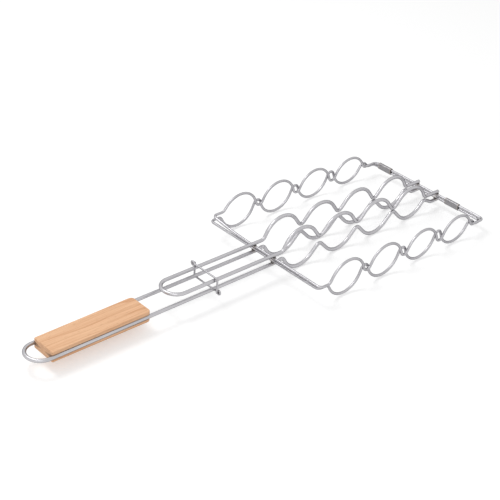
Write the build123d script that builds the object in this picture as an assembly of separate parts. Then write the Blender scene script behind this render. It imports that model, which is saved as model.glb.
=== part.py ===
from build123d import *
import math
import os

# Corn grill basket: a wire cage in two halves that holds four ears of corn
# lying side by side, on a long rod handle with a wooden grip.
# X runs from the handle to the hinge, Y to the left, Z up, in millimetres.
# Pieces are drawn from the middle of the first seat, on the resting surface,
# and then moved so that the origin is under the middle of the whole length.

# Seats
SEAT_COUNT = 4
SEAT_PITCH = 60.0
OUTER_HALF_SPACING = 84.95
INNER_HALF_SPACING = 15.1

# Wire sizes
ROD_DIAMETER = 4.0
FRAME_DIAMETER = 3.0
LATCH_DIAMETER = 2.0

# Fits
WELD_SINK = 0.1
BAR_GAP = 0.3
ROW_GAP = 0.5
HINGE_BAR_GAP = 0.8
LATCH_GAP = 0.5
SLEEVE_GRIP = 0.05
SLEEVE_PLAY = 0.35
GROOVE_FIT = 0.0

# Lower half, heights above the centre line of the inner troughs
FRONT_BAR_RISE = 19.8
OUTER_LIFT = 0.8
HINGE_BAR_DROP = 8.2
SMALL_RISE = 1.6
OUTER_PEAK = 23.7
INNER_PEAK = 17.3
LINK_RADIUS = 5.2
BEND_SLACK = 0.5

# Lid, measured level before it is tipped up about its hinge
LID_TIP_DEGREES = 2.6
LID_CREST = 17.3
LID_VALLEY_DROP = 21.8
INNER_CREST_RISE = 4.0
INNER_LINK_GAP = 0.45
LEFT_END_RISE = 5.0

# Lengths along the basket
FRONT_RUN = 10.0
HINGE_RUN = 18.3
CORNER_RADIUS = 5.0
STUB = 1.5
TAIL_RADIUS = 4.0
INNER_TAIL_RADIUS = 6.0
TAIL_HUMP = 7.0
INNER_TAIL_HUMP = 6.0
RISE_RADIUS = 8.0

# Handle and grip
GRIP_FRONT = 165.0
GRIP_LENGTH = 117.0
GRIP_FRONT_WIDTH = 32.0
GRIP_BACK_WIDTH = 30.4
GRIP_THICKNESS = 12.0
GRIP_EDGE_ROUND = 1.6
GRIP_CORNER_ROUND = 5.0
LOOP_OVERHANG = 3.0
LID_LOOP_GAP = 43.0
WAVE_START = 5.0

# Hinge sleeves
SLEEVE_LENGTH = 20.0
SLEEVE_SHEET = 0.6
LEFT_SLEEVE_INSET = 19.7
RIGHT_SLEEVE_OUTSET = 25.2

# Latch ring
LATCH_REACH = 83.0
LATCH_SIDE = 19.5
EYE_RADIUS = 2.2
LATCH_BEND = 2.5
HOOK_BEND = 1.3
HOOK_TAIL = 1.3

ROD_RADIUS = ROD_DIAMETER / 2
FRAME_RADIUS = FRAME_DIAMETER / 2
LATCH_RADIUS = LATCH_DIAMETER / 2
CROSSING = ROD_RADIUS + FRAME_RADIUS - WELD_SINK

FRONT_REACH = SEAT_PITCH / 2 + FRONT_RUN
HINGE_REACH = SEAT_PITCH / 2 + HINGE_RUN


def bend_sum(depth):
    """Sum of seat and link radii that just meet at this wave depth."""
    return ((SEAT_PITCH / 2) ** 2 + depth**2) / (2 * depth)


SEAT_RADIUS = bend_sum(OUTER_PEAK) - LINK_RADIUS - BEND_SLACK
LID_SEAT_RADIUS = bend_sum(LID_VALLEY_DROP) - LINK_RADIUS - BEND_SLACK

INNER_TROUGH_Z = ROD_RADIUS
FRONT_BAR_Z = INNER_TROUGH_Z + FRONT_BAR_RISE
HANDLE_Z = FRONT_BAR_Z - CROSSING
LID_BAR_Z = FRONT_BAR_Z + FRAME_DIAMETER + BAR_GAP
LID_ROD_Z = LID_BAR_Z + CROSSING
LOW_HINGE_Z = FRONT_BAR_Z - HINGE_BAR_DROP
HINGE_STEP = FRAME_DIAMETER + HINGE_BAR_GAP
TOP_HINGE_Z = LOW_HINGE_Z + HINGE_STEP

FRONT_X = -FRONT_REACH
HINGE_X = SEAT_PITCH * (SEAT_COUNT - 1) + HINGE_REACH
BUTT_X = FRONT_X - WAVE_START
GRIP_FRONT_X = FRONT_X - GRIP_FRONT
GRIP_BACK_X = GRIP_FRONT_X - GRIP_LENGTH
LOOP_X = GRIP_BACK_X - LOOP_OVERHANG
LID_LOOP_X = GRIP_FRONT_X + LID_LOOP_GAP
LATCH_X = FRONT_X - LATCH_REACH
SIDE_SHIFT = (FRAME_DIAMETER + ROW_GAP) / 2
LEFT_SLEEVE_Y = OUTER_HALF_SPACING + SIDE_SHIFT - LEFT_SLEEVE_INSET
RIGHT_SLEEVE_Y = -INNER_HALF_SPACING - RIGHT_SLEEVE_OUTSET
REAR_END_X = LOOP_X - INNER_HALF_SPACING - ROD_RADIUS
FRONT_END_X = HINGE_X + FRAME_RADIUS + STUB
MIDDLE_X = (REAR_END_X + FRONT_END_X) / 2


def inner_tangent(one, two):
    """Points where a straight wire leaves one bend and enters the next one."""
    x1, z1, r1, turn1 = one
    x2, z2, r2, turn2 = two
    dx, dz = x2 - x1, z2 - z1
    gap = math.hypot(dx, dz)
    along = math.atan2(dz, dx)
    if turn1 == turn2:
        lean = math.asin((r1 - r2) / gap) * turn1
    else:
        lean = math.asin((r1 + r2) / gap) * turn1
    heading = along + lean
    a = (x1 + turn1 * r1 * math.sin(heading), z1 - turn1 * r1 * math.cos(heading))
    b = (x2 + turn2 * r2 * math.sin(heading), z2 - turn2 * r2 * math.cos(heading))
    return a, b


def bent_wire(start, bends, end, y):
    """Centre line in one upright plane: straights joined by tangent bends."""
    knots = []
    points = [(start[0], start[1], 0.0, 1)] + bends + [(end[0], end[1], 0.0, 1)]
    for one, two in zip(points[:-1], points[1:]):
        knots.append(inner_tangent(one, two))
    edges = []
    here = start
    for index, bend in enumerate(bends):
        enter = knots[index][1]
        leave = knots[index + 1][0]
        if math.dist(here, enter) > 0.01:
            edges.append(Edge.make_line((here[0], y, here[1]), (enter[0], y, enter[1])))
        x, z, radius, turn = bend
        a0 = math.atan2(enter[1] - z, enter[0] - x)
        a1 = math.atan2(leave[1] - z, leave[0] - x)
        sweep_angle = (a1 - a0) * turn % (2 * math.pi)
        middle = a0 + turn * sweep_angle / 2
        top = (x + radius * math.cos(middle), z + radius * math.sin(middle))
        edges.append(
            Edge.make_three_point_arc((enter[0], y, enter[1]), (top[0], y, top[1]), (leave[0], y, leave[1]))
        )
        here = leave
    if math.dist(here, end) > 0.01:
        edges.append(Edge.make_line((here[0], y, here[1]), (end[0], y, end[1])))
    return Wire(edges)


def rod_along(path, radius):
    """Round bar swept along a centre line."""
    section = Plane(origin=path @ 0, z_dir=path % 0) * Circle(radius)
    return sweep(section, path=path)


def round_bar(start, end, radius):
    """Straight round bar between two points."""
    return rod_along(Wire([Edge.make_line(start, end)]), radius)


def seat_x(index):
    """Middle of one seat along the basket."""
    return SEAT_PITCH * index


def tipped(x, z):
    """Lid point after the lid is tipped up about its hinge bar."""
    lean = math.radians(LID_TIP_DEGREES)
    dx, dz = x - HINGE_X, z - TOP_HINGE_Z
    return (HINGE_X + dx * math.cos(lean) + dz * math.sin(lean), TOP_HINGE_Z - dx * math.sin(lean) + dz * math.cos(lean))


def inner_valley_drop(crest_z):
    """Depth of the inner lid rows that leaves the link gap at the last link, where the lid is lowest."""
    lean = math.radians(LID_TIP_DEGREES)
    reach = HINGE_X - seat_x(SEAT_COUNT - 2) - SEAT_PITCH / 2
    bend_z = INNER_TROUGH_Z + INNER_PEAK + ROD_DIAMETER + INNER_LINK_GAP + LINK_RADIUS
    level_z = TOP_HINGE_Z + (bend_z - TOP_HINGE_Z - reach * math.sin(lean)) / math.cos(lean)
    return crest_z - level_z + LINK_RADIUS


def beside_seat(radius, seat_z, link_z):
    """How far from a seat's middle a small bend just clears the seat's arc."""
    return math.sqrt((radius + LINK_RADIUS + BEND_SLACK) ** 2 - (seat_z - link_z) ** 2)


def low_wave(y, start, trough_z, peak_rise, first, last, end, radius):
    """One row of the lower half: a trough under each seat, a peak between seats."""
    bends = list(first)
    centre_z = trough_z + SEAT_RADIUS
    link_z = trough_z + peak_rise - LINK_RADIUS
    for index in range(SEAT_COUNT):
        bends.append((seat_x(index), centre_z, SEAT_RADIUS, 1))
        if index < SEAT_COUNT - 1:
            bends.append((seat_x(index) + SEAT_PITCH / 2, link_z, LINK_RADIUS, -1))
    bends += last
    return rod_along(bent_wire(start, bends, end, y), radius)


def lid_wave(y, start, crest_z, valley_drop, first, last, end, radius):
    """One row of the lid: a crest over each seat, a valley between seats."""
    bends = list(first)
    big = LID_SEAT_RADIUS
    for index in range(SEAT_COUNT):
        x, z = tipped(seat_x(index), crest_z - big)
        bends.append((x, z, big, -1))
        if index < SEAT_COUNT - 1:
            x, z = tipped(seat_x(index) + SEAT_PITCH / 2, crest_z - valley_drop + LINK_RADIUS)
            bends.append((x, z, LINK_RADIUS, 1))
    bends += last
    return rod_along(bent_wire(start, bends, end, y), radius)


def lid_link(index, crest_z, level, side):
    """Bend that brings a lid row down to a level straight beside an end seat."""
    x, z = tipped(seat_x(index), crest_z - LID_SEAT_RADIUS)
    link_z = level + LINK_RADIUS
    return (x + side * beside_seat(LID_SEAT_RADIUS, z, link_z), link_z, LINK_RADIUS, 1)


def low_outer_wave(y):
    """Outer row of the lower half, from the front corner to the hinge corner."""
    start = (FRONT_X + CORNER_RADIUS, FRONT_BAR_Z)
    end = (HINGE_X - CORNER_RADIUS, LOW_HINGE_Z)
    seat_z = INNER_TROUGH_Z + OUTER_LIFT + SEAT_RADIUS
    front_z = FRONT_BAR_Z - LINK_RADIUS
    hump_z = LOW_HINGE_Z + TAIL_HUMP - LINK_RADIUS
    first = [(-beside_seat(SEAT_RADIUS, seat_z, front_z), front_z, LINK_RADIUS, -1)]
    last = [
        (seat_x(SEAT_COUNT - 1) + beside_seat(SEAT_RADIUS, seat_z, hump_z), hump_z, LINK_RADIUS, -1),
        (HINGE_X - CORNER_RADIUS - TAIL_RADIUS, LOW_HINGE_Z + TAIL_RADIUS, TAIL_RADIUS, 1),
    ]
    return low_wave(y, start, INNER_TROUGH_Z + OUTER_LIFT, OUTER_PEAK, first, last, end, FRAME_RADIUS)


def low_inner_wave(y):
    """Inner row of the lower half, from the handle leg to its stub past the hinge bar."""
    under = LOW_HINGE_Z - CROSSING
    start = (BUTT_X, HANDLE_Z)
    end = (FRONT_END_X, under)
    seat_z = INNER_TROUGH_Z + SEAT_RADIUS
    front_z = HANDLE_Z + SMALL_RISE - LINK_RADIUS
    hump_z = under + INNER_TAIL_HUMP - LINK_RADIUS
    first = [
        (FRONT_X + ROD_RADIUS + FRAME_RADIUS, HANDLE_Z + RISE_RADIUS, RISE_RADIUS, 1),
        (-beside_seat(SEAT_RADIUS, seat_z, front_z), front_z, LINK_RADIUS, -1),
    ]
    last = [
        (seat_x(SEAT_COUNT - 1) + beside_seat(SEAT_RADIUS, seat_z, hump_z), hump_z, LINK_RADIUS, -1),
        (HINGE_X - FRAME_RADIUS - INNER_TAIL_RADIUS, under + INNER_TAIL_RADIUS, INNER_TAIL_RADIUS, 1),
    ]
    return low_wave(y, start, INNER_TROUGH_Z, INNER_PEAK, first, last, end, ROD_RADIUS)


def lid_outer_wave(y, rise):
    """Outer row of the lid, from the front corner to the hinge corner."""
    lead = LID_BAR_Z + rise
    start = (FRONT_X + CORNER_RADIUS, lead)
    end = (HINGE_X - CORNER_RADIUS, TOP_HINGE_Z)
    crest = TOP_HINGE_Z + LID_CREST
    first = [lid_link(0, crest, lead, -1)]
    last = [lid_link(SEAT_COUNT - 1, crest, TOP_HINGE_Z, 1)]
    return lid_wave(y, start, crest, LID_VALLEY_DROP, first, last, end, FRAME_RADIUS)


def lid_inner_wave(y):
    """Inner row of the lid, from the lid leg to its stub past the hinge bar."""
    over = TOP_HINGE_Z + CROSSING
    start = (BUTT_X, LID_ROD_Z)
    end = (FRONT_END_X, over)
    crest = TOP_HINGE_Z + LID_CREST + INNER_CREST_RISE
    first = [lid_link(0, crest, LID_ROD_Z, -1)]
    last = [lid_link(SEAT_COUNT - 1, crest, over, 1)]
    return lid_wave(y, start, crest, inner_valley_drop(crest), first, last, end, ROD_RADIUS)


def cross_wire(x, z, half, into):
    """Bar across the basket whose ends are bent through a right angle."""
    r = CORNER_RADIUS
    k = r * (1 - math.sqrt(0.5))
    edges = [
        Edge.make_three_point_arc((x + into * r, -half, z), (x + into * k, -half + k, z), (x, -half + r, z)),
        Edge.make_line((x, -half + r, z), (x, half - r, z)),
        Edge.make_three_point_arc((x, half - r, z), (x + into * k, half - k, z), (x + into * r, half, z)),
    ]
    return rod_along(Wire(edges), FRAME_RADIUS)


def bowed_cross_wire(x, z, half, rise):
    """Lid front bar: level on the right, bowed up towards its left corner."""
    r = CORNER_RADIUS
    k = r * (1 - math.sqrt(0.5))
    bow_start = INNER_HALF_SPACING + 6.0
    run = half - bow_start
    lean = 2 * rise / run
    for _ in range(30):
        bow_radius = (run - r * math.cos(lean)) / math.sin(lean)
        reached = bow_radius * (1 - math.cos(lean)) + r * math.sin(lean)
        lean *= math.sqrt(rise / reached)
    bow_radius = (run - r * math.cos(lean)) / math.sin(lean)
    middle = (x, bow_start + bow_radius * math.sin(lean / 2), z + bow_radius * (1 - math.cos(lean / 2)))
    bow_end = (x, bow_start + bow_radius * math.sin(lean), z + bow_radius * (1 - math.cos(lean)))
    s, c = math.sin(lean), math.cos(lean)
    q = r - k
    corner = (x + k, bow_end[1] + q * c, bow_end[2] + q * s)
    edges = [
        Edge.make_three_point_arc((x + r, -half, z), (x + k, -half + k, z), (x, -half + r, z)),
        Edge.make_line((x, -half + r, z), (x, bow_start, z)),
        Edge.make_three_point_arc((x, bow_start, z), middle, bow_end),
        Edge.make_three_point_arc(bow_end, corner, (x + r, bow_end[1] + r * c, bow_end[2] + r * s)),
    ]
    return rod_along(Wire(edges), FRAME_RADIUS)


def end_loop(x, z):
    """Half circle of rod that joins the two legs of a handle."""
    half = INNER_HALF_SPACING
    return rod_along(
        Wire([Edge.make_three_point_arc((x, -half, z), (x - half, 0, z), (x, half, z))]), ROD_RADIUS
    )


def leg(x0, x1, y, z):
    """Straight leg of a handle."""
    return round_bar((x0, y, z), (x1, y, z), ROD_RADIUS)


def grip():
    """Wooden block, tapered in plan, with a groove for the rod along each side."""
    front, back = GRIP_FRONT_WIDTH / 2, GRIP_BACK_WIDTH / 2
    plan = Face(
        Wire.make_polygon(
            [
                (GRIP_BACK_X, -back, 0),
                (GRIP_FRONT_X, -front, 0),
                (GRIP_FRONT_X, front, 0),
                (GRIP_BACK_X, back, 0),
            ]
        )
    )
    block = extrude(plan, GRIP_THICKNESS, dir=(0, 0, 1))
    block = Pos(0, 0, HANDLE_Z - GRIP_THICKNESS / 2) * block
    front_edges = block.edges().filter_by(Axis.Z).group_by(Axis.X)[-1]
    block = fillet(front_edges, GRIP_CORNER_ROUND)
    top = block.faces().sort_by(Axis.Z)[-1].edges()
    bottom = block.faces().sort_by(Axis.Z)[0].edges()
    block = fillet(top + bottom, GRIP_EDGE_ROUND)
    for side in (-1, 1):
        channel = round_bar(
            (GRIP_BACK_X - 5, side * INNER_HALF_SPACING, HANDLE_Z),
            (GRIP_FRONT_X + 5, side * INNER_HALF_SPACING, HANDLE_Z),
            ROD_RADIUS + GROOVE_FIT,
        )
        block -= channel
        reach = GRIP_FRONT_WIDTH
        slot = Box(GRIP_LENGTH + 10, reach, ROD_DIAMETER + 2 * GROOVE_FIT)
        middle = side * (INNER_HALF_SPACING + reach / 2)
        block -= Pos((GRIP_FRONT_X + GRIP_BACK_X) / 2, middle, HANDLE_Z) * slot
    return block


def sleeve(y):
    """Rolled sheet sleeve: tight round the lower bar, free round the lid bar."""
    tight = FRAME_RADIUS + SLEEVE_GRIP
    loose = FRAME_RADIUS + SLEEVE_PLAY

    def wrap(extra):
        low = Pos(0, 0) * Circle(tight + extra)
        high = Pos(0, HINGE_STEP) * Circle(loose + extra)
        return make_hull(low.edges() + high.edges())

    ring = wrap(SLEEVE_SHEET) - wrap(0)
    tube = extrude(ring, SLEEVE_LENGTH)
    place = Plane(origin=(HINGE_X, y + SLEEVE_LENGTH / 2, LOW_HINGE_Z), x_dir=(1, 0, 0), z_dir=(0, -1, 0))
    return place * tube


def latch_wire(upper):
    """Half of the latch ring: an eye, a bar and a side whose end hooks the other eye."""
    up = 1 if upper else -1
    top = LID_ROD_Z + ROD_RADIUS + LATCH_GAP + LATCH_RADIUS
    bottom = HANDLE_Z - ROD_RADIUS - LATCH_GAP - LATCH_RADIUS
    bar_z, far_z = (top, bottom) if upper else (bottom, top)
    plane_gap = LATCH_DIAMETER + 0.9
    x = LATCH_X if upper else LATCH_X + plane_gap
    toward = 1 if upper else -1
    eye_y, side_y = up * LATCH_SIDE, -up * LATCH_SIDE
    b, h = LATCH_BEND, HOOK_BEND
    kb, kh = b * (1 - math.sqrt(0.5)), h * (1 - math.sqrt(0.5))
    inward = -up
    down = -up
    start = (x, eye_y + inward * EYE_RADIUS, bar_z)
    edges = [
        Edge.make_line(start, (x, side_y - inward * b, bar_z)),
        Edge.make_three_point_arc(
            (x, side_y - inward * b, bar_z),
            (x, side_y - inward * kb, bar_z + down * kb),
            (x, side_y, bar_z + down * b),
        ),
        Edge.make_line((x, side_y, bar_z + down * b), (x, side_y, far_z - down * h)),
        Edge.make_three_point_arc(
            (x, side_y, far_z - down * h),
            (x + toward * kh, side_y, far_z - down * kh),
            (x + toward * h, side_y, far_z),
        ),
        Edge.make_line((x + toward * h, side_y, far_z), (x + toward * (plane_gap + HOOK_TAIL), side_y, far_z)),
    ]
    wire = rod_along(Wire(edges), LATCH_RADIUS)
    eye = Plane(origin=(x, eye_y, bar_z), z_dir=(1, 0, 0)) * Torus(EYE_RADIUS, LATCH_RADIUS)
    return wire + eye


def all_parts():
    """Every separate piece of the basket by name.

    The two halves are as wide as each other, and each is moved to its own side so that the outer
    rows pass beside each other at the links.
    """
    inner, outer = INNER_HALF_SPACING, OUTER_HALF_SPACING
    low_side, lid_side = Pos(0, SIDE_SHIFT, 0), Pos(0, -SIDE_SHIFT, 0)
    parts = {
        "wooden_grip": grip(),
        "handle_loop": end_loop(LOOP_X, HANDLE_Z),
        "bottom_front_crossbar": low_side * cross_wire(FRONT_X, FRONT_BAR_Z, outer, 1),
        "bottom_hinge_bar": low_side * cross_wire(HINGE_X, LOW_HINGE_Z, outer, -1),
        "lid_loop": end_loop(LID_LOOP_X, LID_ROD_Z),
        "lid_front_crossbar": lid_side * bowed_cross_wire(FRONT_X, LID_BAR_Z, outer, LEFT_END_RISE),
        "lid_hinge_bar": lid_side * cross_wire(HINGE_X, TOP_HINGE_Z, outer, -1),
        "latch_wire_upper": latch_wire(True),
        "latch_wire_lower": latch_wire(False),
        "hinge_sleeve_left": sleeve(LEFT_SLEEVE_Y),
        "hinge_sleeve_right": sleeve(RIGHT_SLEEVE_Y),
    }
    for name, side in (("left", 1), ("right", -1)):
        parts["handle_" + name + "_leg"] = leg(LOOP_X, BUTT_X, side * inner, HANDLE_Z)
        parts["bottom_" + name + "_inner_wave"] = low_inner_wave(side * inner)
        parts["bottom_" + name + "_outer_wave"] = low_outer_wave(side * outer + SIDE_SHIFT)
        parts["lid_" + name + "_leg"] = leg(LID_LOOP_X, BUTT_X, side * inner, LID_ROD_Z)
        parts["lid_" + name + "_inner_wave"] = lid_inner_wave(side * inner)
        parts["lid_" + name + "_outer_wave"] = lid_outer_wave(side * outer - SIDE_SHIFT, LEFT_END_RISE if side > 0 else 0.0)
    return parts


os.makedirs("parts", exist_ok=True)
for node, drawn in all_parts().items():
    shape = Pos(-MIDDLE_X, 0, 0) * drawn
    export_step(shape, "parts/" + node + ".step")
    box = shape.bounding_box()
    print(node, round(shape.volume, 1), [round(v, 1) for v in box.min], [round(v, 1) for v in box.max])
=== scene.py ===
"""Corn grill basket: a hinged wire cage for four ears of corn on a rod handle with a wooden grip.

Every wire is a round section carried along its own centre line, in the same places as the frame's
nodes. Sizes are in millimetres in the classes below and become metres when a mesh is made.
"""

import logging
import math
from dataclasses import dataclass, field
from enum import Enum

import bpy
import numpy as np
from mathutils import Matrix, Vector


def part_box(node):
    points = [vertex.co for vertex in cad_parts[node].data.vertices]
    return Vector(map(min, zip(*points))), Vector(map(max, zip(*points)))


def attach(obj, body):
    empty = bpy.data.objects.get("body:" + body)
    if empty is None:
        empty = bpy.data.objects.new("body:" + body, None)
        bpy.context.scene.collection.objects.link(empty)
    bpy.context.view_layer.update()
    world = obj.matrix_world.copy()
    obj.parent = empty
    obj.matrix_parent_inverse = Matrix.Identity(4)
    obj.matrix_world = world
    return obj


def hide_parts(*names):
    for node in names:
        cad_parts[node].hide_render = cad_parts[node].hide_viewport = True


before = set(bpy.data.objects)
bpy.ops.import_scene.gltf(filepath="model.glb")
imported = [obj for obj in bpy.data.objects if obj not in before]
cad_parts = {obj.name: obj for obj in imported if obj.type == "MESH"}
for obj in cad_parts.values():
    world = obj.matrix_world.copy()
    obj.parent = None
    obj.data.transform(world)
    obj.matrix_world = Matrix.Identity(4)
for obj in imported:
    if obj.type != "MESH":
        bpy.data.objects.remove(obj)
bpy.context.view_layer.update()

log = logging.getLogger("grill_basket")

MM = 0.001
# Two points nearer than this are one, in millimetres.
SAME_POINT = 1e-4
# A new point on a run keeps at least this share of a step from the old ones.
CROWDED = 0.4
UP = np.array((0.0, 0.0, 1.0))
AHEAD = np.array((1.0, 0.0, 0.0))
# A direction that no run of the latch wires takes.
SLANT = np.array((0.62, 0.5, 0.6))

Array = np.ndarray
Heads = tuple[Array | None, Array | None]
Pair = tuple[float, float]
Triple = tuple[float, float, float]
Colour = tuple[float, float, float, float]
Material = bpy.types.Material
Node = bpy.types.Node
Piece = bpy.types.Object
Socket = bpy.types.NodeSocket
Tree = bpy.types.NodeTree


class Side(Enum):
    """The two sides of the basket, with the sign that each has on the Y axis."""

    LEFT = 1
    RIGHT = -1


class Body(Enum):
    """The bodies of the frame that pieces ride on."""

    LOWER = "lower_half"
    LID = "lid"
    LATCH = "latch_ring"


class Slot(Enum):
    """The material slots of the record."""

    WOOD = "beech_wood"
    ROD = "rod_chrome"
    FRAME = "frame_chrome"
    SLEEVE = "sleeve_steel"
    LATCH = "latch_wire"


@dataclass(frozen=True)
class Surface:
    """A mesh before it is put into Blender.

    Attributes:
        points: corners, one row of x, y and z each, in millimetres.
        quads: faces of four corners.
        triangles: faces of three corners, for the closed ends.
        grain: for each corner, the place round the wire and along it, in millimetres.
        ring_count: number of rings that the corners lie in.
    """

    points: Array
    quads: Array
    triangles: Array
    grain: Array
    ring_count: int


@dataclass(frozen=True)
class Bend:
    """A round bend of a wire in an upright plane; turn is 1 for left and -1 for right."""

    x: float
    z: float
    radius: float
    turn: int


def unit(rows: Array) -> Array:
    """Rows divided by their own length."""
    return rows / np.linalg.norm(rows, axis=-1, keepdims=True)


def turns(first: float, last: float, count: int) -> Array:
    """Evenly spaced angles, given in degrees and returned in radians."""
    return np.radians(np.linspace(first, last, count))


def round_off(share: Array) -> Array:
    """How far a quarter circle of radius 1 falls away: 1 - sqrt(1 - share squared)."""
    return 1.0 - np.sqrt(1.0 - share**2)


def distances(line: Array) -> Array:
    """Length of a line from its first point up to each of its points."""
    return np.concatenate(([0.0], np.cumsum(np.linalg.norm(np.diff(line, axis=0), axis=1))))


def arc(centre: Array, first: Array, second: Array, sweep: float, step: float = 5.0) -> Array:
    """Points on an arc: centre + cos(t) first + sin(t) second, for t from 0 to the sweep.

    Args:
        centre: middle of the arc.
        first: vector from the middle to the first point.
        second: vector of the same length along which the arc sets off.
        sweep: angle of the arc, in degrees.
        step: widest angle between two points, in degrees.

    Returns:
        One row for each point.
    """
    count = max(3, math.ceil(abs(sweep) / step) + 1)
    angles = np.radians(np.linspace(0.0, sweep, count))[:, None]
    return np.asarray(centre) + np.cos(angles) * np.asarray(first) + np.sin(angles) * np.asarray(second)


def join_runs(*runs: Array) -> Array:
    """One line out of several runs of points, without the points that repeat."""
    line = np.vstack([np.atleast_2d(run) for run in runs])
    step = np.linalg.norm(np.diff(line, axis=0), axis=1)
    return line[np.concatenate(([True], step > SAME_POINT))]


def fill_line(line: Array, longest: float) -> Array:
    """Adds points on the straight runs of a line, so that no step is longer than the given one.

    Args:
        line: points of the line.
        longest: longest step, in the line's units.

    Returns:
        The old points and the new ones, in order along the line.
    """
    length = distances(line)
    extra = np.arange(longest, length[-1], longest)
    far = np.abs(extra[:, None] - length[None, :]).min(axis=1) > longest * CROWDED
    stations = np.sort(np.concatenate((length, extra[far])))
    return np.column_stack([np.interp(stations, length, line[:, axis]) for axis in range(3)])


def tangent_points(one: Bend, two: Bend) -> tuple[Array, Array]:
    """Where a straight wire leaves one bend and enters the next.

    The line between the bends' middles is leaned by asin(sum of radii / distance) where the wire
    changes its turn, and by asin(difference of radii / distance) where it keeps it.

    Args:
        one: bend that the wire leaves.
        two: bend that the wire enters.

    Returns:
        The two touching points, as x and z.
    """
    gap = math.hypot(two.x - one.x, two.z - one.z)
    along = math.atan2(two.z - one.z, two.x - one.x)
    reach = one.radius - two.radius if one.turn == two.turn else one.radius + two.radius
    heading = along + math.asin(reach / gap) * one.turn
    normal = np.array((math.sin(heading), -math.cos(heading)))
    leave = np.array((one.x, one.z)) + one.turn * one.radius * normal
    enter = np.array((two.x, two.z)) + two.turn * two.radius * normal
    return leave, enter


def bent_line(start: Pair, bends: list[Bend], end: Pair, y: float) -> Array:
    """Centre line of a wire in one upright plane: straights joined by tangent bends.

    Args:
        start: x and z of the first point.
        bends: bends in order along the wire.
        end: x and z of the last point.
        y: the plane that the wire lies in.

    Returns:
        Points of the centre line in millimetres.
    """
    stops = [Bend(*start, 0.0, 1), *bends, Bend(*end, 0.0, 1)]
    joints = [tangent_points(one, two) for one, two in zip(stops[:-1], stops[1:])]
    runs = [np.array(start)]
    for bend, (_, enter), (leave, _) in zip(bends, joints[:-1], joints[1:]):
        middle = np.array((bend.x, bend.z))
        first = math.atan2(*(enter - middle)[::-1])
        last = math.atan2(*(leave - middle)[::-1])
        sweep = math.degrees((last - first) * bend.turn % (2 * math.pi))
        ahead = bend.turn * np.array((-(enter - middle)[1], (enter - middle)[0]))
        runs.append(arc(middle, enter - middle, ahead, sweep, 4.0))
    runs.append(np.array(end))
    flat = join_runs(*runs)
    return np.column_stack((flat[:, 0], np.full(len(flat), y), flat[:, 1]))


def grid_faces(rings: int, around: int) -> Array:
    """Faces of a grid that closes on itself across, for rings of corners stored one after another.

    Args:
        rings: number of rings.
        around: corners in each ring.

    Returns:
        Quads that point outwards when the rings turn left about the way they advance.
    """
    ring = np.arange(rings - 1)[:, None] * around
    here = np.arange(around)[None, :]
    following = (here + 1) % around
    corners = (ring + here, ring + following, ring + around + following, ring + around + here)
    return np.stack(corners, -1).reshape(-1, 4)


def end_fans(rings: int, around: int) -> Array:
    """Triangles that close a grid of rings with one corner at either end.

    The two closing corners are stored after the last ring, the first end's before the last end's.

    Args:
        rings: number of rings.
        around: corners in each ring.

    Returns:
        Triangles that point outwards.
    """
    here = np.arange(around)
    following = (here + 1) % around
    last = (rings - 1) * around
    foot = np.full(around, rings * around)
    first_end = np.column_stack((foot, following, here))
    last_end = np.column_stack((foot + 1, last + here, last + following))
    return np.vstack((first_end, last_end))


def close_rings(grid: Array, ends: Array, grain: Array | None = None) -> Surface:
    """Closes a grid of rings with one corner at either end.

    Args:
        grid: corners by ring, by place round the ring and by axis.
        ends: the two closing corners.
        grain: place on the wire of each corner, or nothing where the corner itself is the place.

    Returns:
        The closed surface.
    """
    rings, around = grid.shape[:2]
    points = np.vstack((grid.reshape(-1, 3), ends))
    stored = points.copy() if grain is None else grain
    return Surface(points, grid_faces(rings, around), end_fans(rings, around), stored, rings)


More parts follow.
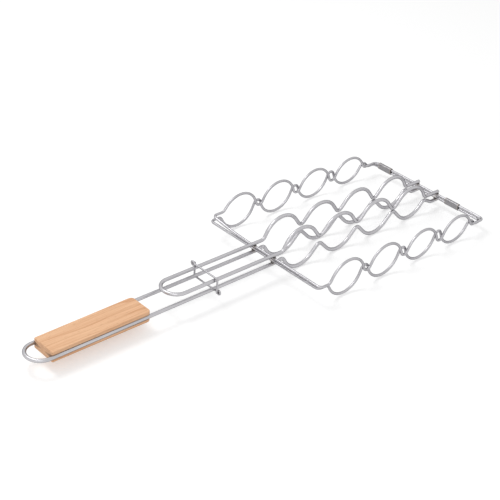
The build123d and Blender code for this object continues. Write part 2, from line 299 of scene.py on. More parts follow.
@dataclass(frozen=True)
class RoundSection:
    """A round section carried along a centre line.

    Attributes:
        radius: radius of the wire.
        around: corners round the section.
        longest: longest step along the line.
        edge: rounding of an end that shows.
        edge_steps: rings in that rounding.
    """

    radius: float
    around: int = 28
    longest: float = 4.0
    edge: float = 0.55
    edge_steps: int = 5

    def carry(
        self,
        line: Array,
        heads: Heads = (None, None),
        rounded: tuple[bool, bool] = (False, False),
        reference: Array = UP,
    ) -> Surface:
        """Sweeps the section: point = centre + radius (cos a side + sin a lift).

        Side is the reference crossed with the line's heading, and lift is the heading crossed with
        side. A rounded end adds rings that step forward by edge sin t while the radius shrinks by
        edge (1 - cos t).

        Args:
            line: centre line.
            heads: heading at the first and the last point, where the line ends in a bend.
            rounded: which ends show and are rounded over.
            reference: direction that the line never takes.

        Returns:
            The closed surface.
        """
        line = fill_line(line, self.longest)
        along = distances(line)
        heading = unit(np.gradient(line, along, axis=0))
        heading[0] = heading[0] if heads[0] is None else heads[0]
        heading[-1] = heading[-1] if heads[1] is None else heads[1]
        size = np.full(len(line), self.radius)
        turn = turns(0.0, 90.0, self.edge_steps + 1)[1:]
        ahead = self.edge * np.sin(turn)
        shrink = self.radius - self.edge * (1.0 - np.cos(turn))
        if rounded[1]:
            line[-1] -= heading[-1] * self.edge
            line = np.vstack((line, line[-1] + ahead[:, None] * heading[-1]))
            heading = np.vstack((heading, np.repeat(heading[-1:], len(turn), axis=0)))
            size = np.concatenate((size, shrink))
            along = np.concatenate((along, along[-1] + ahead))
        if rounded[0]:
            line[0] += heading[0] * self.edge
            line = np.vstack((line[0] - ahead[::-1, None] * heading[0], line))
            heading = np.vstack((np.repeat(heading[:1], len(turn), axis=0), heading))
            size = np.concatenate((shrink[::-1], size))
            along = np.concatenate((along[0] - ahead[::-1], along))
        side = unit(np.cross(reference, heading))
        lift = np.cross(heading, side)
        angle = np.linspace(0.0, 2.0 * math.pi, self.around, endpoint=False)
        cosine, sine = np.cos(angle), np.sin(angle)
        spread = cosine[None, :, None] * side[:, None, :] + sine[None, :, None] * lift[:, None, :]
        rings = line[:, None, :] + size[:, None, None] * spread
        grain = np.empty((len(line), self.around, 3))
        grain[..., 0] = self.radius * cosine
        grain[..., 1] = self.radius * sine
        grain[..., 2] = along[:, None]
        ends = np.array(((0.0, 0.0, along[0]), (0.0, 0.0, along[-1])))
        return close_rings(rings, line[[0, -1]], np.vstack((grain.reshape(-1, 3), ends)))


@dataclass(frozen=True)
class Plan:
    """Driving sizes of the basket and the places worked out from them, in millimetres.

    X runs from the handle to the hinge and is measured from the first seat's middle until
    `shift` moves it to the frame's origin, Y runs to the left and Z is height.
    """

    seat_count: int = 4
    seat_pitch: float = 60.0
    outer_half: float = 84.95
    inner_half: float = 15.1
    row_gap: float = 0.5
    rod_radius: float = 2.0
    frame_radius: float = 1.5
    latch_radius: float = 1.0
    weld_sink: float = 0.1
    bar_gap: float = 0.3
    hinge_bar_gap: float = 0.8
    front_bar_rise: float = 19.8
    outer_lift: float = 0.8
    hinge_bar_drop: float = 8.2
    small_rise: float = 1.6
    outer_peak: float = 23.7
    inner_peak: float = 17.3
    link_radius: float = 5.2
    bend_slack: float = 0.5
    lid_tip: float = 2.6
    lid_crest: float = 17.3
    lid_valley_drop: float = 21.8
    inner_crest_rise: float = 4.0
    inner_link_gap: float = 0.45
    left_end_rise: float = 5.0
    front_run: float = 10.0
    hinge_run: float = 18.3
    corner_radius: float = 5.0
    stub: float = 1.5
    tail_radius: float = 4.0
    inner_tail_radius: float = 6.0
    tail_hump: float = 7.0
    inner_tail_hump: float = 6.0
    rise_radius: float = 8.0
    grip_front: float = 165.0
    grip_length: float = 117.0
    loop_overhang: float = 3.0
    lid_loop_gap: float = 43.0
    wave_start: float = 5.0

    def bend_sum(self, depth: float) -> float:
        """Sum of seat and link radii that just meet at this depth of wave."""
        return ((self.seat_pitch / 2) ** 2 + depth**2) / (2 * depth)

    @property
    def crossing(self) -> float:
        """Height between a rod and the bar that it is welded across."""
        return self.rod_radius + self.frame_radius - self.weld_sink

    @property
    def seat_radius(self) -> float:
        """Radius of the troughs under the ears."""
        return self.bend_sum(self.outer_peak) - self.link_radius - self.bend_slack

    @property
    def lid_seat_radius(self) -> float:
        """Radius of the crests over the ears."""
        return self.bend_sum(self.lid_valley_drop) - self.link_radius - self.bend_slack

    @property
    def trough_z(self) -> float:
        """Height of the inner rows' centre line under an ear."""
        return self.rod_radius

    @property
    def front_bar_z(self) -> float:
        """Height of the lower front bar."""
        return self.trough_z + self.front_bar_rise

    @property
    def handle_z(self) -> float:
        """Height of the handle rod."""
        return self.front_bar_z - self.crossing

    @property
    def lid_bar_z(self) -> float:
        """Height of the lid's front bar."""
        return self.front_bar_z + 2 * self.frame_radius + self.bar_gap

    @property
    def lid_rod_z(self) -> float:
        """Height of the lid's rods along the handle."""
        return self.lid_bar_z + self.crossing

    @property
    def low_hinge_z(self) -> float:
        """Height of the lower hinge bar."""
        return self.front_bar_z - self.hinge_bar_drop

    @property
    def top_hinge_z(self) -> float:
        """Height of the lid's hinge bar."""
        return self.low_hinge_z + 2 * self.frame_radius + self.hinge_bar_gap

    @property
    def front_x(self) -> float:
        """Place of both front bars."""
        return -(self.seat_pitch / 2 + self.front_run)

    @property
    def hinge_x(self) -> float:
        """Place of both hinge bars."""
        return self.seat_pitch * (self.seat_count - 0.5) + self.hinge_run

    @property
    def butt_x(self) -> float:
        """Where a handle leg goes over into a row of the cage."""
        return self.front_x - self.wave_start

    @property
    def grip_front_x(self) -> float:
        """Front end of the grip."""
        return self.front_x - self.grip_front

    @property
    def grip_back_x(self) -> float:
        """Back end of the grip."""
        return self.grip_front_x - self.grip_length

    @property
    def loop_x(self) -> float:
        """Where the handle's end loop starts."""
        return self.grip_back_x - self.loop_overhang

    @property
    def lid_loop_x(self) -> float:
        """Where the lid's end loop starts."""
        return self.grip_front_x + self.lid_loop_gap

    @property
    def side_shift(self) -> float:
        """How far each half lies to its own side, so that the outer rows pass beside each other."""
        return self.frame_radius + self.row_gap / 2

    @property
    def rod_end_x(self) -> float:
        """Where the rods end past the hinge bars."""
        return self.hinge_x + self.frame_radius + self.stub

    @property
    def shift(self) -> float:
        """Middle of the whole length, which is the frame's origin."""
        return (self.loop_x - self.inner_half - self.rod_radius + self.rod_end_x) / 2

    def seat_x(self, index: int) -> float:
        """Middle of one seat."""
        return self.seat_pitch * index

    def tipped(self, x: float, z: float) -> Pair:
        """Place of a lid point once the level lid is tipped up about its hinge bar."""
        lean = math.radians(self.lid_tip)
        dx, dz = x - self.hinge_x, z - self.top_hinge_z
        tipped_x = self.hinge_x + dx * math.cos(lean) + dz * math.sin(lean)
        return tipped_x, self.top_hinge_z - dx * math.sin(lean) + dz * math.cos(lean)

    def inner_valley_drop(self, crest: float) -> float:
        """Depth of the lid's inner rows that leaves the link gap at the last link."""
        lean = math.radians(self.lid_tip)
        reach = self.hinge_x - self.seat_x(self.seat_count - 2) - self.seat_pitch / 2
        clear_z = self.trough_z + self.inner_peak + 2 * self.rod_radius + self.inner_link_gap
        bend_z = clear_z + self.link_radius
        level_z = self.top_hinge_z + (bend_z - self.top_hinge_z - reach * math.sin(lean)) / math.cos(lean)
        return crest - level_z + self.link_radius

    def beside_seat(self, radius: float, seat_z: float, link_z: float) -> float:
        """How far from a seat's middle a link bend just clears the seat's arc."""
        return math.sqrt((radius + self.link_radius + self.bend_slack) ** 2 - (seat_z - link_z) ** 2)


PLAN = Plan()


@dataclass(frozen=True)
class Crossings:
    """Places where a rod is welded across a bar, for the weld nuggets and the heat and painted shade round
    them.
    """

    plan: Plan = PLAN

    def points(self) -> dict[str, Array]:
        """Middle of each weld by name, in the plan's millimetres."""
        plan = self.plan
        handle_top, lid_foot = plan.handle_z + plan.rod_radius, plan.lid_rod_z - plan.rod_radius
        low_bar, lid_top = plan.front_bar_z - plan.frame_radius, plan.lid_bar_z + plan.frame_radius
        rows = (
            ("handle_bar", plan.front_x, (handle_top + low_bar) / 2),
            ("lid_bar", plan.front_x, (lid_foot + lid_top) / 2),
            ("lower_hinge", plan.hinge_x, plan.low_hinge_z - plan.frame_radius + plan.weld_sink / 2),
            ("lid_hinge", plan.hinge_x, plan.top_hinge_z + plan.frame_radius - plan.weld_sink / 2),
        )
        return {
            f"{name}_{side.name.lower()}": np.array((x, side.value * plan.inner_half, z))
            for name, x, z in rows
            for side in Side
        }


class Bench:
    """Makes nodes of one tree and links them, so that a finish reads as a short list of steps."""

    def __init__(self, tree: Tree) -> None:
        """Keeps the tree that nodes are made in."""
        self.tree = tree

    def node(self, kind: str, **settings: object) -> Node:
        """Makes a node and sets its properties.

        Args:
            kind: Blender's type name without the ShaderNode prefix.
            **settings: properties of the node.

        Returns:
            The new node.
        """
        made = self.tree.nodes.new("ShaderNode" + kind)
        for name, value in settings.items():
            setattr(made, name, value)
        return made

    def link(self, source: Socket, target: Socket) -> None:
        """Joins two sockets."""
        self.tree.links.new(source, target)

    def feed(self, target: Socket, value: object) -> None:
        """Sets a socket to a value, or links it when the value is another node's socket."""
        if isinstance(value, Socket):
            self.link(value, target)
        else:
            target.default_value = value

    def place(self) -> Socket:
        """The piece's own coordinates, in metres."""
        return self.node("TexCoord").outputs["Object"]

    def stored(self, name: str, output: str = "Fac") -> Socket:
        """An attribute that the piece's mesh carries."""
        return self.node("Attribute", attribute_name=name).outputs[output]

    def maths(self, operation: str, one: object, two: object = 0.0, clamp: bool = False) -> Socket:
        """One operation on two numbers or sockets."""
        made = self.node("Math", operation=operation, use_clamp=clamp)
        self.feed(made.inputs[0], one)
        self.feed(made.inputs[1], two)
        return made.outputs[0]

    def times(self, one: object, two: object) -> Socket:
        """Product of two numbers or sockets."""
        return self.maths("MULTIPLY", one, two)

    def stretch(self, vector: Socket, scale: Triple) -> Socket:
        """Coordinates with each axis scaled by its own number."""
        made = self.node("Mapping")
        self.link(vector, made.inputs["Vector"])
        made.inputs["Scale"].default_value = scale
        return made.outputs["Vector"]

    def noise(self, vector: Socket, scale: float, detail: float, rough: float = 0.55) -> Socket:
        """Value of a cloudy pattern, between 0 and 1."""
        made = self.node("TexNoise")
        self.link(vector, made.inputs["Vector"])
        made.inputs["Scale"].default_value = scale
        made.inputs["Detail"].default_value = detail
        made.inputs["Roughness"].default_value = rough
        return made.outputs["Fac"]

    def span(self, value: Socket, old: Pair, new: Pair) -> Socket:
        """A value moved from one range to another and held inside it."""
        made = self.node("MapRange", clamp=True)
        self.link(value, made.inputs["Value"])
        made.inputs["From Min"].default_value, made.inputs["From Max"].default_value = old
        made.inputs["To Min"].default_value, made.inputs["To Max"].default_value = new
        return made.outputs["Result"]

    def blend(self, share: object, one: object, two: object) -> Socket:
        """Two colours mixed by a share."""
        made = self.node("Mix", data_type="RGBA")
        self.feed(made.inputs[0], share)
        self.feed(made.inputs[6], one)
        self.feed(made.inputs[7], two)
        return made.outputs[2]

    def group(self, tree: Tree, **values: object) -> Node:
        """Places a shared group and feeds its named inputs."""
        made = self.node("Group", node_tree=tree)
        for name, value in values.items():
            self.feed(made.inputs[name.replace("_", " ").capitalize()], value)
        return made


    def emboss(self, shader: Node, height: Socket, distance: float, strength: float = 1.0) -> None:
        """Bends a shader's normals as relief of this height would, distance being in metres."""
        bump = self.node("Bump")
        bump.inputs["Strength"].default_value = strength
        bump.inputs["Distance"].default_value = distance
        self.link(height, bump.inputs["Height"])
        self.link(bump.outputs["Normal"], shader.inputs["Normal"])


def colour(red: float, green: float, blue: float) -> Colour:
    """An opaque linear colour."""
    return (red, green, blue, 1.0)


class SharedEffects:
    """Shader groups that several finishes use, each built once."""

    def __init__(self) -> None:
        """Builds every group."""
        self.drawn_lines = self.build_drawn_lines()
        self.smudges = self.build_smudges()
        self.weld_heat = self.build_weld_heat()

    @staticmethod
    def shell(name: str, inputs: dict[str, str], outputs: dict[str, str]) -> tuple[Bench, Node, Node]:
        """Starts a group with named inputs and outputs.

        Args:
            name: the group's name.
            inputs: socket type of each input by name.
            outputs: socket type of each output by name.

        Returns:
            A bench in the group, its input node and its output node.
        """
        tree = bpy.data.node_groups.new(name, "ShaderNodeTree")
        for title, kind in inputs.items():
            tree.interface.new_socket(name=title, in_out="INPUT", socket_type="NodeSocket" + kind)
        for title, kind in outputs.items():
            tree.interface.new_socket(name=title, in_out="OUTPUT", socket_type="NodeSocket" + kind)
        bench = Bench(tree)
        return bench, tree.nodes.new("NodeGroupInput"), tree.nodes.new("NodeGroupOutput")

    def build_drawn_lines(self) -> Tree:
        """Fine lines that the drawing die leaves along a wire, under the plating."""
        inputs = {"Coordinates": "Vector", "Fineness": "Float"}
        bench, source, sink = self.shell("drawn_lines", inputs, {"Lines": "Float", "Height": "Float"})
        scaled = bench.node("VectorMath", operation="SCALE")
        bench.link(source.outputs["Coordinates"], scaled.inputs[0])
        bench.link(source.outputs["Fineness"], scaled.inputs["Scale"])
        lengthwise = bench.stretch(scaled.outputs["Vector"], (1.0, 1.0, 0.012))
        fine = bench.noise(lengthwise, 2.2, 4.0, 0.6)
        waves = bench.noise(bench.stretch(scaled.outputs["Vector"], (0.35, 0.35, 0.02)), 1.0, 2.0)
        both = bench.maths("ADD", bench.times(fine, 0.7), bench.times(waves, 0.3))
        bench.link(bench.span(both, (0.35, 0.65), (0.0, 1.0)), sink.inputs["Lines"])
        bench.link(both, sink.inputs["Height"])
        return bench.tree

    def build_smudges(self) -> Tree:
        """Soft patches of handling and dried water, from a slow pattern broken by a quick one."""
        outputs = {"Patches": "Float", "Specks": "Float"}
        bench, source, sink = self.shell("smudges", {"Coordinates": "Vector"}, outputs)
        place = source.outputs["Coordinates"]
        slow = bench.noise(place, 38.0, 3.0, 0.6)
        quick = bench.noise(place, 420.0, 2.0, 0.5)
        patches = bench.maths("ADD", slow, bench.times(quick, 0.25))
        bench.link(bench.span(patches, (0.5, 0.82), (0.0, 1.0)), sink.inputs["Patches"])
        spots = bench.noise(place, 1500.0, 1.0, 0.4)
        bench.link(bench.span(spots, (0.68, 0.78), (0.0, 1.0)), sink.inputs["Specks"])
        return bench.tree

    def build_weld_heat(self) -> Tree:
        """Dark scale at a weld and the straw and blue rings that fade out round it; the near-black scale also
        paints shade in the crevice where rod meets bar and inside the hinge sleeves.
        """
        inputs = {"Heat": "Float", "Plate": "Color", "Coordinates": "Vector"}
        bench, source, sink = self.shell("weld_heat", inputs, {"Tint": "Color", "Scale": "Float"})
        ragged = bench.noise(source.outputs["Coordinates"], 900.0, 3.0, 0.6)
        heat = bench.times(source.outputs["Heat"], bench.span(ragged, (0.3, 0.7), (0.75, 1.2)))
        straw = bench.span(heat, (0.12, 0.4), (0.0, 0.55))
        blue = bench.span(heat, (0.38, 0.62), (0.0, 0.6))
        # Near-black scale: weld scale, and painted shade in the rod-bar crevices and inside the hinge
        # sleeves.
        scale = bench.span(heat, (0.55, 0.85), (0.0, 0.92))
        warm = bench.blend(straw, source.outputs["Plate"], colour(0.42, 0.36, 0.30))
        cool = bench.blend(blue, warm, colour(0.20, 0.20, 0.24))
        bench.link(bench.blend(scale, cool, colour(0.030, 0.028, 0.028)), sink.inputs["Tint"])
        bench.link(scale, sink.inputs["Scale"])
        return bench.tree


def show(thing: Piece) -> None:
    """Puts an object into the scene."""
    bpy.context.scene.collection.objects.link(thing)


def start_material(name: str) -> tuple[Material, Bench, Node]:
    """A new material with its bench and its main shader."""
    material = bpy.data.materials.new(name)
    material.use_nodes = True
    return material, Bench(material.node_tree), material.node_tree.nodes["Principled BSDF"]


@dataclass(frozen=True)
class PlatedWire:
    """Bright plating over drawn wire.

    Attributes:
        name: the material's name.
        tone: colour of the plating seen straight on.
        shade: colour in the drawn lines and where the plating is thin.
        rim: colour of the plating seen at a slant, kept dark to paint the darker reflections along the wire's
            edges.
        fineness: how many drawn lines go round the wire.
        gloss: roughness of clean plating.
        worn: roughness in the drawn lines and smudges.
        relief: height of the drawn lines, in metres.
        line_depth: share of the shade in the drawn lines.
        patch_depth: share of the shade in the smudges.
        patch_rough: roughness that a smudge adds.
        scale_rough: roughness that weld scale adds.
        bare: how metallic weld scale is.
    """

    name: str
    tone: Colour
    shade: Colour
    rim: Colour
    fineness: float
    gloss: float
    worn: float
    relief: float
    line_depth: float = 0.55
    patch_depth: float = 0.35
    patch_rough: float = 0.08
    scale_rough: float = 0.4
    bare: float = 0.35

    def build(self, effects: SharedEffects) -> Material:
        """Makes the material.

        Args:
            effects: the shared shader groups.

        Returns:
            The finished material.
        """
        material, bench, shader = start_material(self.name)
        place = bench.place()
        grain = bench.stored("wire_grain", "Vector")
        lines = bench.group(effects.drawn_lines, coordinates=grain, fineness=self.fineness)
        patches = bench.group(effects.smudges, coordinates=place).outputs["Patches"]
        plate = bench.blend(bench.times(lines.outputs["Lines"], self.line_depth), self.tone, self.shade)
        dull = bench.blend(bench.times(patches, self.patch_depth), plate, self.shade)
        # Weld heat and painted shade: heat tint at the welds, with near-black painted shade in the crevices
        # where rods cross bars and inside the sleeves.
        heat = bench.stored("weld_heat")
        tint = bench.group(effects.weld_heat, heat=heat, plate=dull, coordinates=place)
        bench.link(tint.outputs["Tint"], shader.inputs["Base Color"])
        rough = bench.span(lines.outputs["Lines"], (0.0, 1.0), (self.gloss, self.worn))
        rough = bench.maths("ADD", rough, bench.times(patches, self.patch_rough))
        scale = bench.times(tint.outputs["Scale"], self.scale_rough)
        bench.link(bench.maths("ADD", rough, scale, clamp=True), shader.inputs["Roughness"])
        metal = bench.span(tint.outputs["Scale"], (0.0, 1.0), (1.0, self.bare))
        bench.link(metal, shader.inputs["Metallic"])
        # The dark rim tint paints darker reflections along the wire's edges.
        shader.inputs["Specular Tint"].default_value = self.rim
        bench.emboss(shader, lines.outputs["Height"], self.relief)
        return material


@dataclass(frozen=True)
class WeldMetal:
    """Spattered weld metal that the plating only partly covers; its near-black parts also paint the shade in
    the crevice between rod and bar.
    """

    name: str = "weld_metal"
    bright: Colour = colour(0.34, 0.33, 0.33)
    # Near-black weld metal, partly painted shade in the crevice between rod and bar.
    dark: Colour = colour(0.035, 0.033, 0.032)
    relief: float = 0.00025

    def build(self, effects: SharedEffects) -> Material:
        """Makes the material."""
        material, bench, shader = start_material(self.name)
        place = bench.place()
        lumps = bench.noise(place, 700.0, 4.0, 0.6)
        smudges = bench.group(effects.smudges, coordinates=place)
        cover = bench.span(lumps, (0.42, 0.66), (0.0, 0.8))
        skin = bench.blend(cover, self.dark, self.bright)
        bench.link(bench.blend(smudges.outputs["Specks"], skin, self.dark), shader.inputs["Base Color"])
        bench.link(bench.span(cover, (0.0, 1.0), (0.62, 0.34)), shader.inputs["Roughness"])
        bench.link(bench.span(cover, (0.0, 0.6), (0.3, 1.0)), shader.inputs["Metallic"])
        bench.emboss(shader, lumps, self.relief)
        return material


@dataclass(frozen=True)
class BeechWood:
    """Pale sanded beech with lengthwise growth lines, short flecks and slightly handled edges.

    Attributes:
        name: the material's name.
        early: colour of the light, open wood of a ring.
        late: colour of the denser wood at the end of a ring.
        fleck: colour of the short dark flecks.
        worn: colour of the handled edges.
        shadow: colour deep in the rod's groove.
        pith: where the middle of the tree lies from the grip's middle, in metres.
        lean: how far the grain is turned from the grip's length, in radians.
        ring: distance between growth rings, in metres.
        sway: how many rings the grain wanders by.
        relief: depth of the fibres, in metres.
    """

    name: str = "beech_wood"
    early: Colour = colour(0.93, 0.575, 0.345)
    late: Colour = colour(0.68, 0.335, 0.165)
    fleck: Colour = colour(0.46, 0.22, 0.11)
    worn: Colour = colour(0.62, 0.35, 0.20)
    shadow: Colour = colour(0.12, 0.06, 0.035)
    pith: Triple = (0.0, 0.022, -0.075)
    lean: Triple = (0.0, 0.010, 0.014)
    ring: float = 0.0025
    sway: float = 3.2
    relief: float = 0.00012

    def rings(self, bench: Bench, place: Socket) -> Socket:
        """Share of late wood: fract(distance from the pith / ring + sway x noise) to a power."""
        moved = bench.node("Mapping")
        bench.link(place, moved.inputs["Vector"])
        moved.inputs["Location"].default_value = tuple(-value for value in self.pith)
        moved.inputs["Rotation"].default_value = self.lean
        parts = bench.node("SeparateXYZ")
        bench.link(moved.outputs["Vector"], parts.inputs[0])
        across = bench.times(parts.outputs["Y"], parts.outputs["Y"])
        upward = bench.times(parts.outputs["Z"], parts.outputs["Z"])
        distance = bench.maths("SQRT", bench.maths("ADD", across, upward))
        wander = bench.noise(bench.stretch(place, (5.0, 30.0, 30.0)), 1.0, 3.0, 0.5)
        count = bench.maths("DIVIDE", distance, self.ring)
        count = bench.maths("ADD", count, bench.times(wander, self.sway))
        return bench.maths("POWER", bench.maths("FRACT", count), 2.6)

    def build(self, effects: SharedEffects) -> Material:
        """Makes the material.

        Args:
            effects: the shared shader groups.

        Returns:
            The finished material.
        """
        material, bench, shader = start_material(self.name)
        place = bench.place()
        late = self.rings(bench, place)
        fibres = bench.noise(bench.stretch(place, (22.0, 900.0, 900.0)), 1.0, 4.0, 0.6)
        broad = bench.noise(bench.stretch(place, (5.0, 90.0, 90.0)), 1.0, 3.0, 0.5)
        ray = bench.noise(bench.stretch(place, (240.0, 1700.0, 1700.0)), 1.0, 1.0, 0.4)
        flecks = bench.span(ray, (0.66, 0.74), (0.0, 1.0))
        share = bench.maths("ADD", bench.times(late, 0.52), bench.span(fibres, (0.42, 0.72), (0.0, 0.55)))
        share = bench.maths("ADD", share, bench.span(broad, (0.4, 0.7), (-0.12, 0.3)), clamp=True)
        handled = bench.times(bench.stored("handled_edge"), bench.span(broad, (0.35, 0.6), (0.25, 0.8)))
        patches = bench.group(effects.smudges, coordinates=place).outputs["Patches"]
        wood = bench.blend(share, self.early, self.late)
        for cover, depth, tone in (
            (flecks, 0.34, self.fleck),
            (handled, 0.4, self.worn),
            (patches, 0.06, self.late),
            (bench.stored("rod_groove"), 0.75, self.shadow),
        ):
            wood = bench.blend(bench.times(cover, depth), wood, tone)
        bench.link(wood, shader.inputs["Base Color"])
        rough = bench.span(fibres, (0.3, 0.7), (0.5, 0.66))
        bench.link(bench.maths("SUBTRACT", rough, bench.times(handled, 0.12)), shader.inputs["Roughness"])
        shader.inputs["Specular IOR Level"].default_value = 0.32
        height = bench.maths("ADD", bench.times(fibres, 0.7), bench.times(flecks, -0.5))
        height = bench.maths("SUBTRACT", height, bench.times(late, 0.15))
        bench.emboss(shader, height, self.relief, 0.9)
        return material


# Platings by slot: tone, shade, rim (painted dark edge reflection), fineness, gloss, worn roughness and
# relief.
PLATINGS = {
    Slot.ROD: PlatedWire(
        "rod_plating", colour(0.60, 0.59, 0.61), colour(0.40, 0.395, 0.415),
        colour(0.16, 0.16, 0.17), 1.0, 0.20, 0.34, 0.00003,
    ),
    Slot.FRAME: PlatedWire(
        "frame_plating", colour(0.56, 0.55, 0.57), colour(0.36, 0.355, 0.375),
        colour(0.14, 0.14, 0.15), 1.3, 0.24, 0.36, 0.00002,
    ),
    Slot.SLEEVE: PlatedWire(
        "sleeve_plating", colour(0.38, 0.37, 0.38), colour(0.22, 0.215, 0.225),
        colour(0.2, 0.2, 0.21), 0.9, 0.30, 0.46, 0.00006,
    ),
    Slot.LATCH: PlatedWire(
        "latch_plating", colour(0.54, 0.53, 0.55), colour(0.33, 0.325, 0.34),
        colour(0.14, 0.14, 0.15), 1.6, 0.22, 0.38, 0.00004,
    ),
}


class Finishes:
    """Every finish of the basket by slot."""

    def __init__(self) -> None:
        """Builds the shared effects and the materials."""
        effects = SharedEffects()
        self.materials: dict[Slot, Material] = {
            Slot.WOOD: BeechWood().build(effects),
            **{slot: plating.build(effects) for slot, plating in PLATINGS.items()},
        }
        self.weld = WeldMetal().build(effects)


@dataclass
class Workshop:
    """Puts surfaces into Blender, dresses them and hangs them on the frame's bodies."""

    finishes: Finishes
    plan: Plan = PLAN
    sharp: float = 32.0

    def raise_piece(self, name: str, surface: Surface) -> Piece:
        """Makes an object from a surface, moved to the frame's origin and scaled to metres.

        Args:
            name: the object's name.
            surface: the surface, in the plan's millimetres.

        Returns:
            The linked object.
        """
        mesh = bpy.data.meshes.new(name)
        points = (surface.points - np.array((self.plan.shift, 0.0, 0.0))) * MM
        mesh.from_pydata(points.tolist(), [], surface.quads.tolist() + surface.triangles.tolist())
        grain = mesh.attributes.new("wire_grain", "FLOAT_VECTOR", "POINT")
        grain.data.foreach_set("vector", surface.grain.astype(np.float32).ravel())
        mesh.polygons.foreach_set("use_smooth", np.ones(len(mesh.polygons), bool))
        mesh.set_sharp_from_angle(angle=math.radians(self.sharp))
        mesh.update()
        piece = bpy.data.objects.new(name, mesh)
        show(piece)
        return piece

    @staticmethod
    def paint(piece: Piece, name: str, values: Array) -> None:
        """Stores one number for each corner of a piece's mesh."""
        layer = piece.data.attributes.new(name, "FLOAT", "POINT")
        layer.data.foreach_set("value", np.asarray(values, dtype=np.float32))

    def paint_weld_heat_and_shade(
        self, piece: Piece, surface: Surface, cut_ends: Pair, reach: float = 2.6
    ) -> None:
        """Paints the heat left by the welds and the shade in the crevice at each weld: exp(-(distance /
        reach) squared) to the nearest one.

        Args:
            piece: the object that the surface became.
            surface: the surface, in the plan's millimetres.
            cut_ends: darkness of the first and the last end face.
            reach: distance at which the heat has faded to a third, in millimetres.
        """
        spots = np.array(list(Crossings(self.plan).points().values()))
        gaps = np.linalg.norm(surface.points[:, None, :] - spots[None, :, :], axis=2).min(axis=1)
        # Near the crossing this heat turns to near-black scale, which paints the shade in the crevice between
        # rod and bar.
        heat = np.exp(-((gaps / reach) ** 2))
        heat[-2:] = np.maximum(heat[-2:], cut_ends)
        self.paint(piece, "weld_heat", heat)

    def stand_in(self, piece: Piece, node: str, body: Body, slot: Slot) -> Piece:
        """Lets a piece replace a node: its finish, its body and how near it is to the node's box.

        Args:
            piece: the finished object.
            node: the node that it stands for.
            body: the body that it rides on.
            slot: the material slot that it takes its finish from.

        Returns:
            The same object.
        """
        piece.data.materials.append(self.finishes.materials[slot])
        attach(piece, body.value)
        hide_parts(node)
        corners = np.array([corner[:] for corner in piece.bound_box])
        low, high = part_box(node)
        apart = max(np.abs(corners.min(axis=0) - low).max(), np.abs(corners.max(axis=0) - high).max())
        log.info("%s stands for %s, corners within %.2f mm", piece.name, node, apart / MM)
        return piece

    def wire(
        self,
        node: str,
        line: Array,
        section: RoundSection,
        body: Body,
        slot: Slot,
        heads: Heads = (None, None),
        rounded: tuple[bool, bool] = (False, False),
        reference: Array = UP,
        cut_ends: Pair = (0.0, 0.0),
    ) -> Piece:
        """Carries a section along a line and lets the wire stand in for its node.

        Args:
            node: the node that the wire stands for.
            line: its centre line, in the plan's millimetres.
            section: the round section.
            body: the body that it rides on.
            slot: its material slot.
            heads: heading at either end where the line ends in a bend.
            rounded: which ends show.
            reference: direction that the line never takes.
            cut_ends: darkness of the first and the last end face.

        Returns:
            The finished piece.
        """
        surface = section.carry(line, heads, rounded, reference)
        piece = self.raise_piece(node + "_wire", surface)
        self.paint_weld_heat_and_shade(piece, surface, cut_ends)
        return self.stand_in(piece, node, body, slot)


@dataclass
class CageRow:
    """One row of bent wire of either half, from its front end to its hinge end."""

    plan: Plan = PLAN

    def lower(
        self, y: float, lift: float, peak: float, ends: tuple[list[Bend], list[Bend]], start: Pair, end: Pair
    ) -> Array:
        """A lower row: a trough under each seat and a peak between seats.

        Args:
            y: where the row lies across the basket.
            lift: height of its trough above the inner rows' trough.
            peak: height of a peak above the trough.
            ends: bends before the first trough and after the last one.
            start: x and z of the front end.
            end: x and z of the hinge end.

        Returns:
            The row's centre line.
        """
        plan = self.plan
        middle_z = plan.trough_z + lift + plan.seat_radius
        link_z = plan.trough_z + lift + peak - plan.link_radius
        waves: list[Bend] = []
        for index in range(plan.seat_count):
            waves.append(Bend(plan.seat_x(index), middle_z, plan.seat_radius, 1))
            if index < plan.seat_count - 1:
                waves.append(Bend(plan.seat_x(index) + plan.seat_pitch / 2, link_z, plan.link_radius, -1))
        return bent_line(start, ends[0] + waves + ends[1], end, y)

    def upper(
        self, y: float, crest: float, drop: float, levels: Pair, start_x: float, end_x: float
    ) -> Array:
        """A lid row: a crest over each seat and a valley between seats, tipped about the hinge.

        Args:
            y: where the row lies across the basket.
            crest: height of a crest before the lid is tipped.
            drop: depth of a valley below the crest.
            levels: height of the straights at the front and at the hinge.
            start_x: front end.
            end_x: hinge end.

        Returns:
            The row's centre line.
        """
        plan = self.plan
        big = plan.lid_seat_radius
        waves: list[Bend] = []
        for index in range(plan.seat_count):
            x, z = plan.tipped(plan.seat_x(index), crest - big)
            waves.append(Bend(x, z, big, -1))
            if index < plan.seat_count - 1:
                x, z = plan.tipped(plan.seat_x(index) + plan.seat_pitch / 2, crest - drop + plan.link_radius)
                waves.append(Bend(x, z, plan.link_radius, 1))
        first = self.end_link(0, crest, levels[0], -1)
        last = self.end_link(plan.seat_count - 1, crest, levels[1], 1)
        return bent_line((start_x, levels[0]), [first, *waves, last], (end_x, levels[1]), y)

    def end_link(self, index: int, crest: float, level: float, side: int) -> Bend:
        """Bend that brings a lid row down to a level straight beside an end seat."""
        plan = self.plan
        x, z = plan.tipped(plan.seat_x(index), crest - plan.lid_seat_radius)
        link_z = level + plan.link_radius
        return Bend(x + side * plan.beside_seat(plan.lid_seat_radius, z, link_z), link_z, plan.link_radius, 1)


def end_loop(x: float, half: float, z: float) -> Array:
    """Half circle of rod that joins two legs, from the right leg round to the left one."""
    return arc((x, 0.0, z), np.array((0.0, -half, 0.0)), np.array((-half, 0.0, 0.0)), 180.0, 4.0)


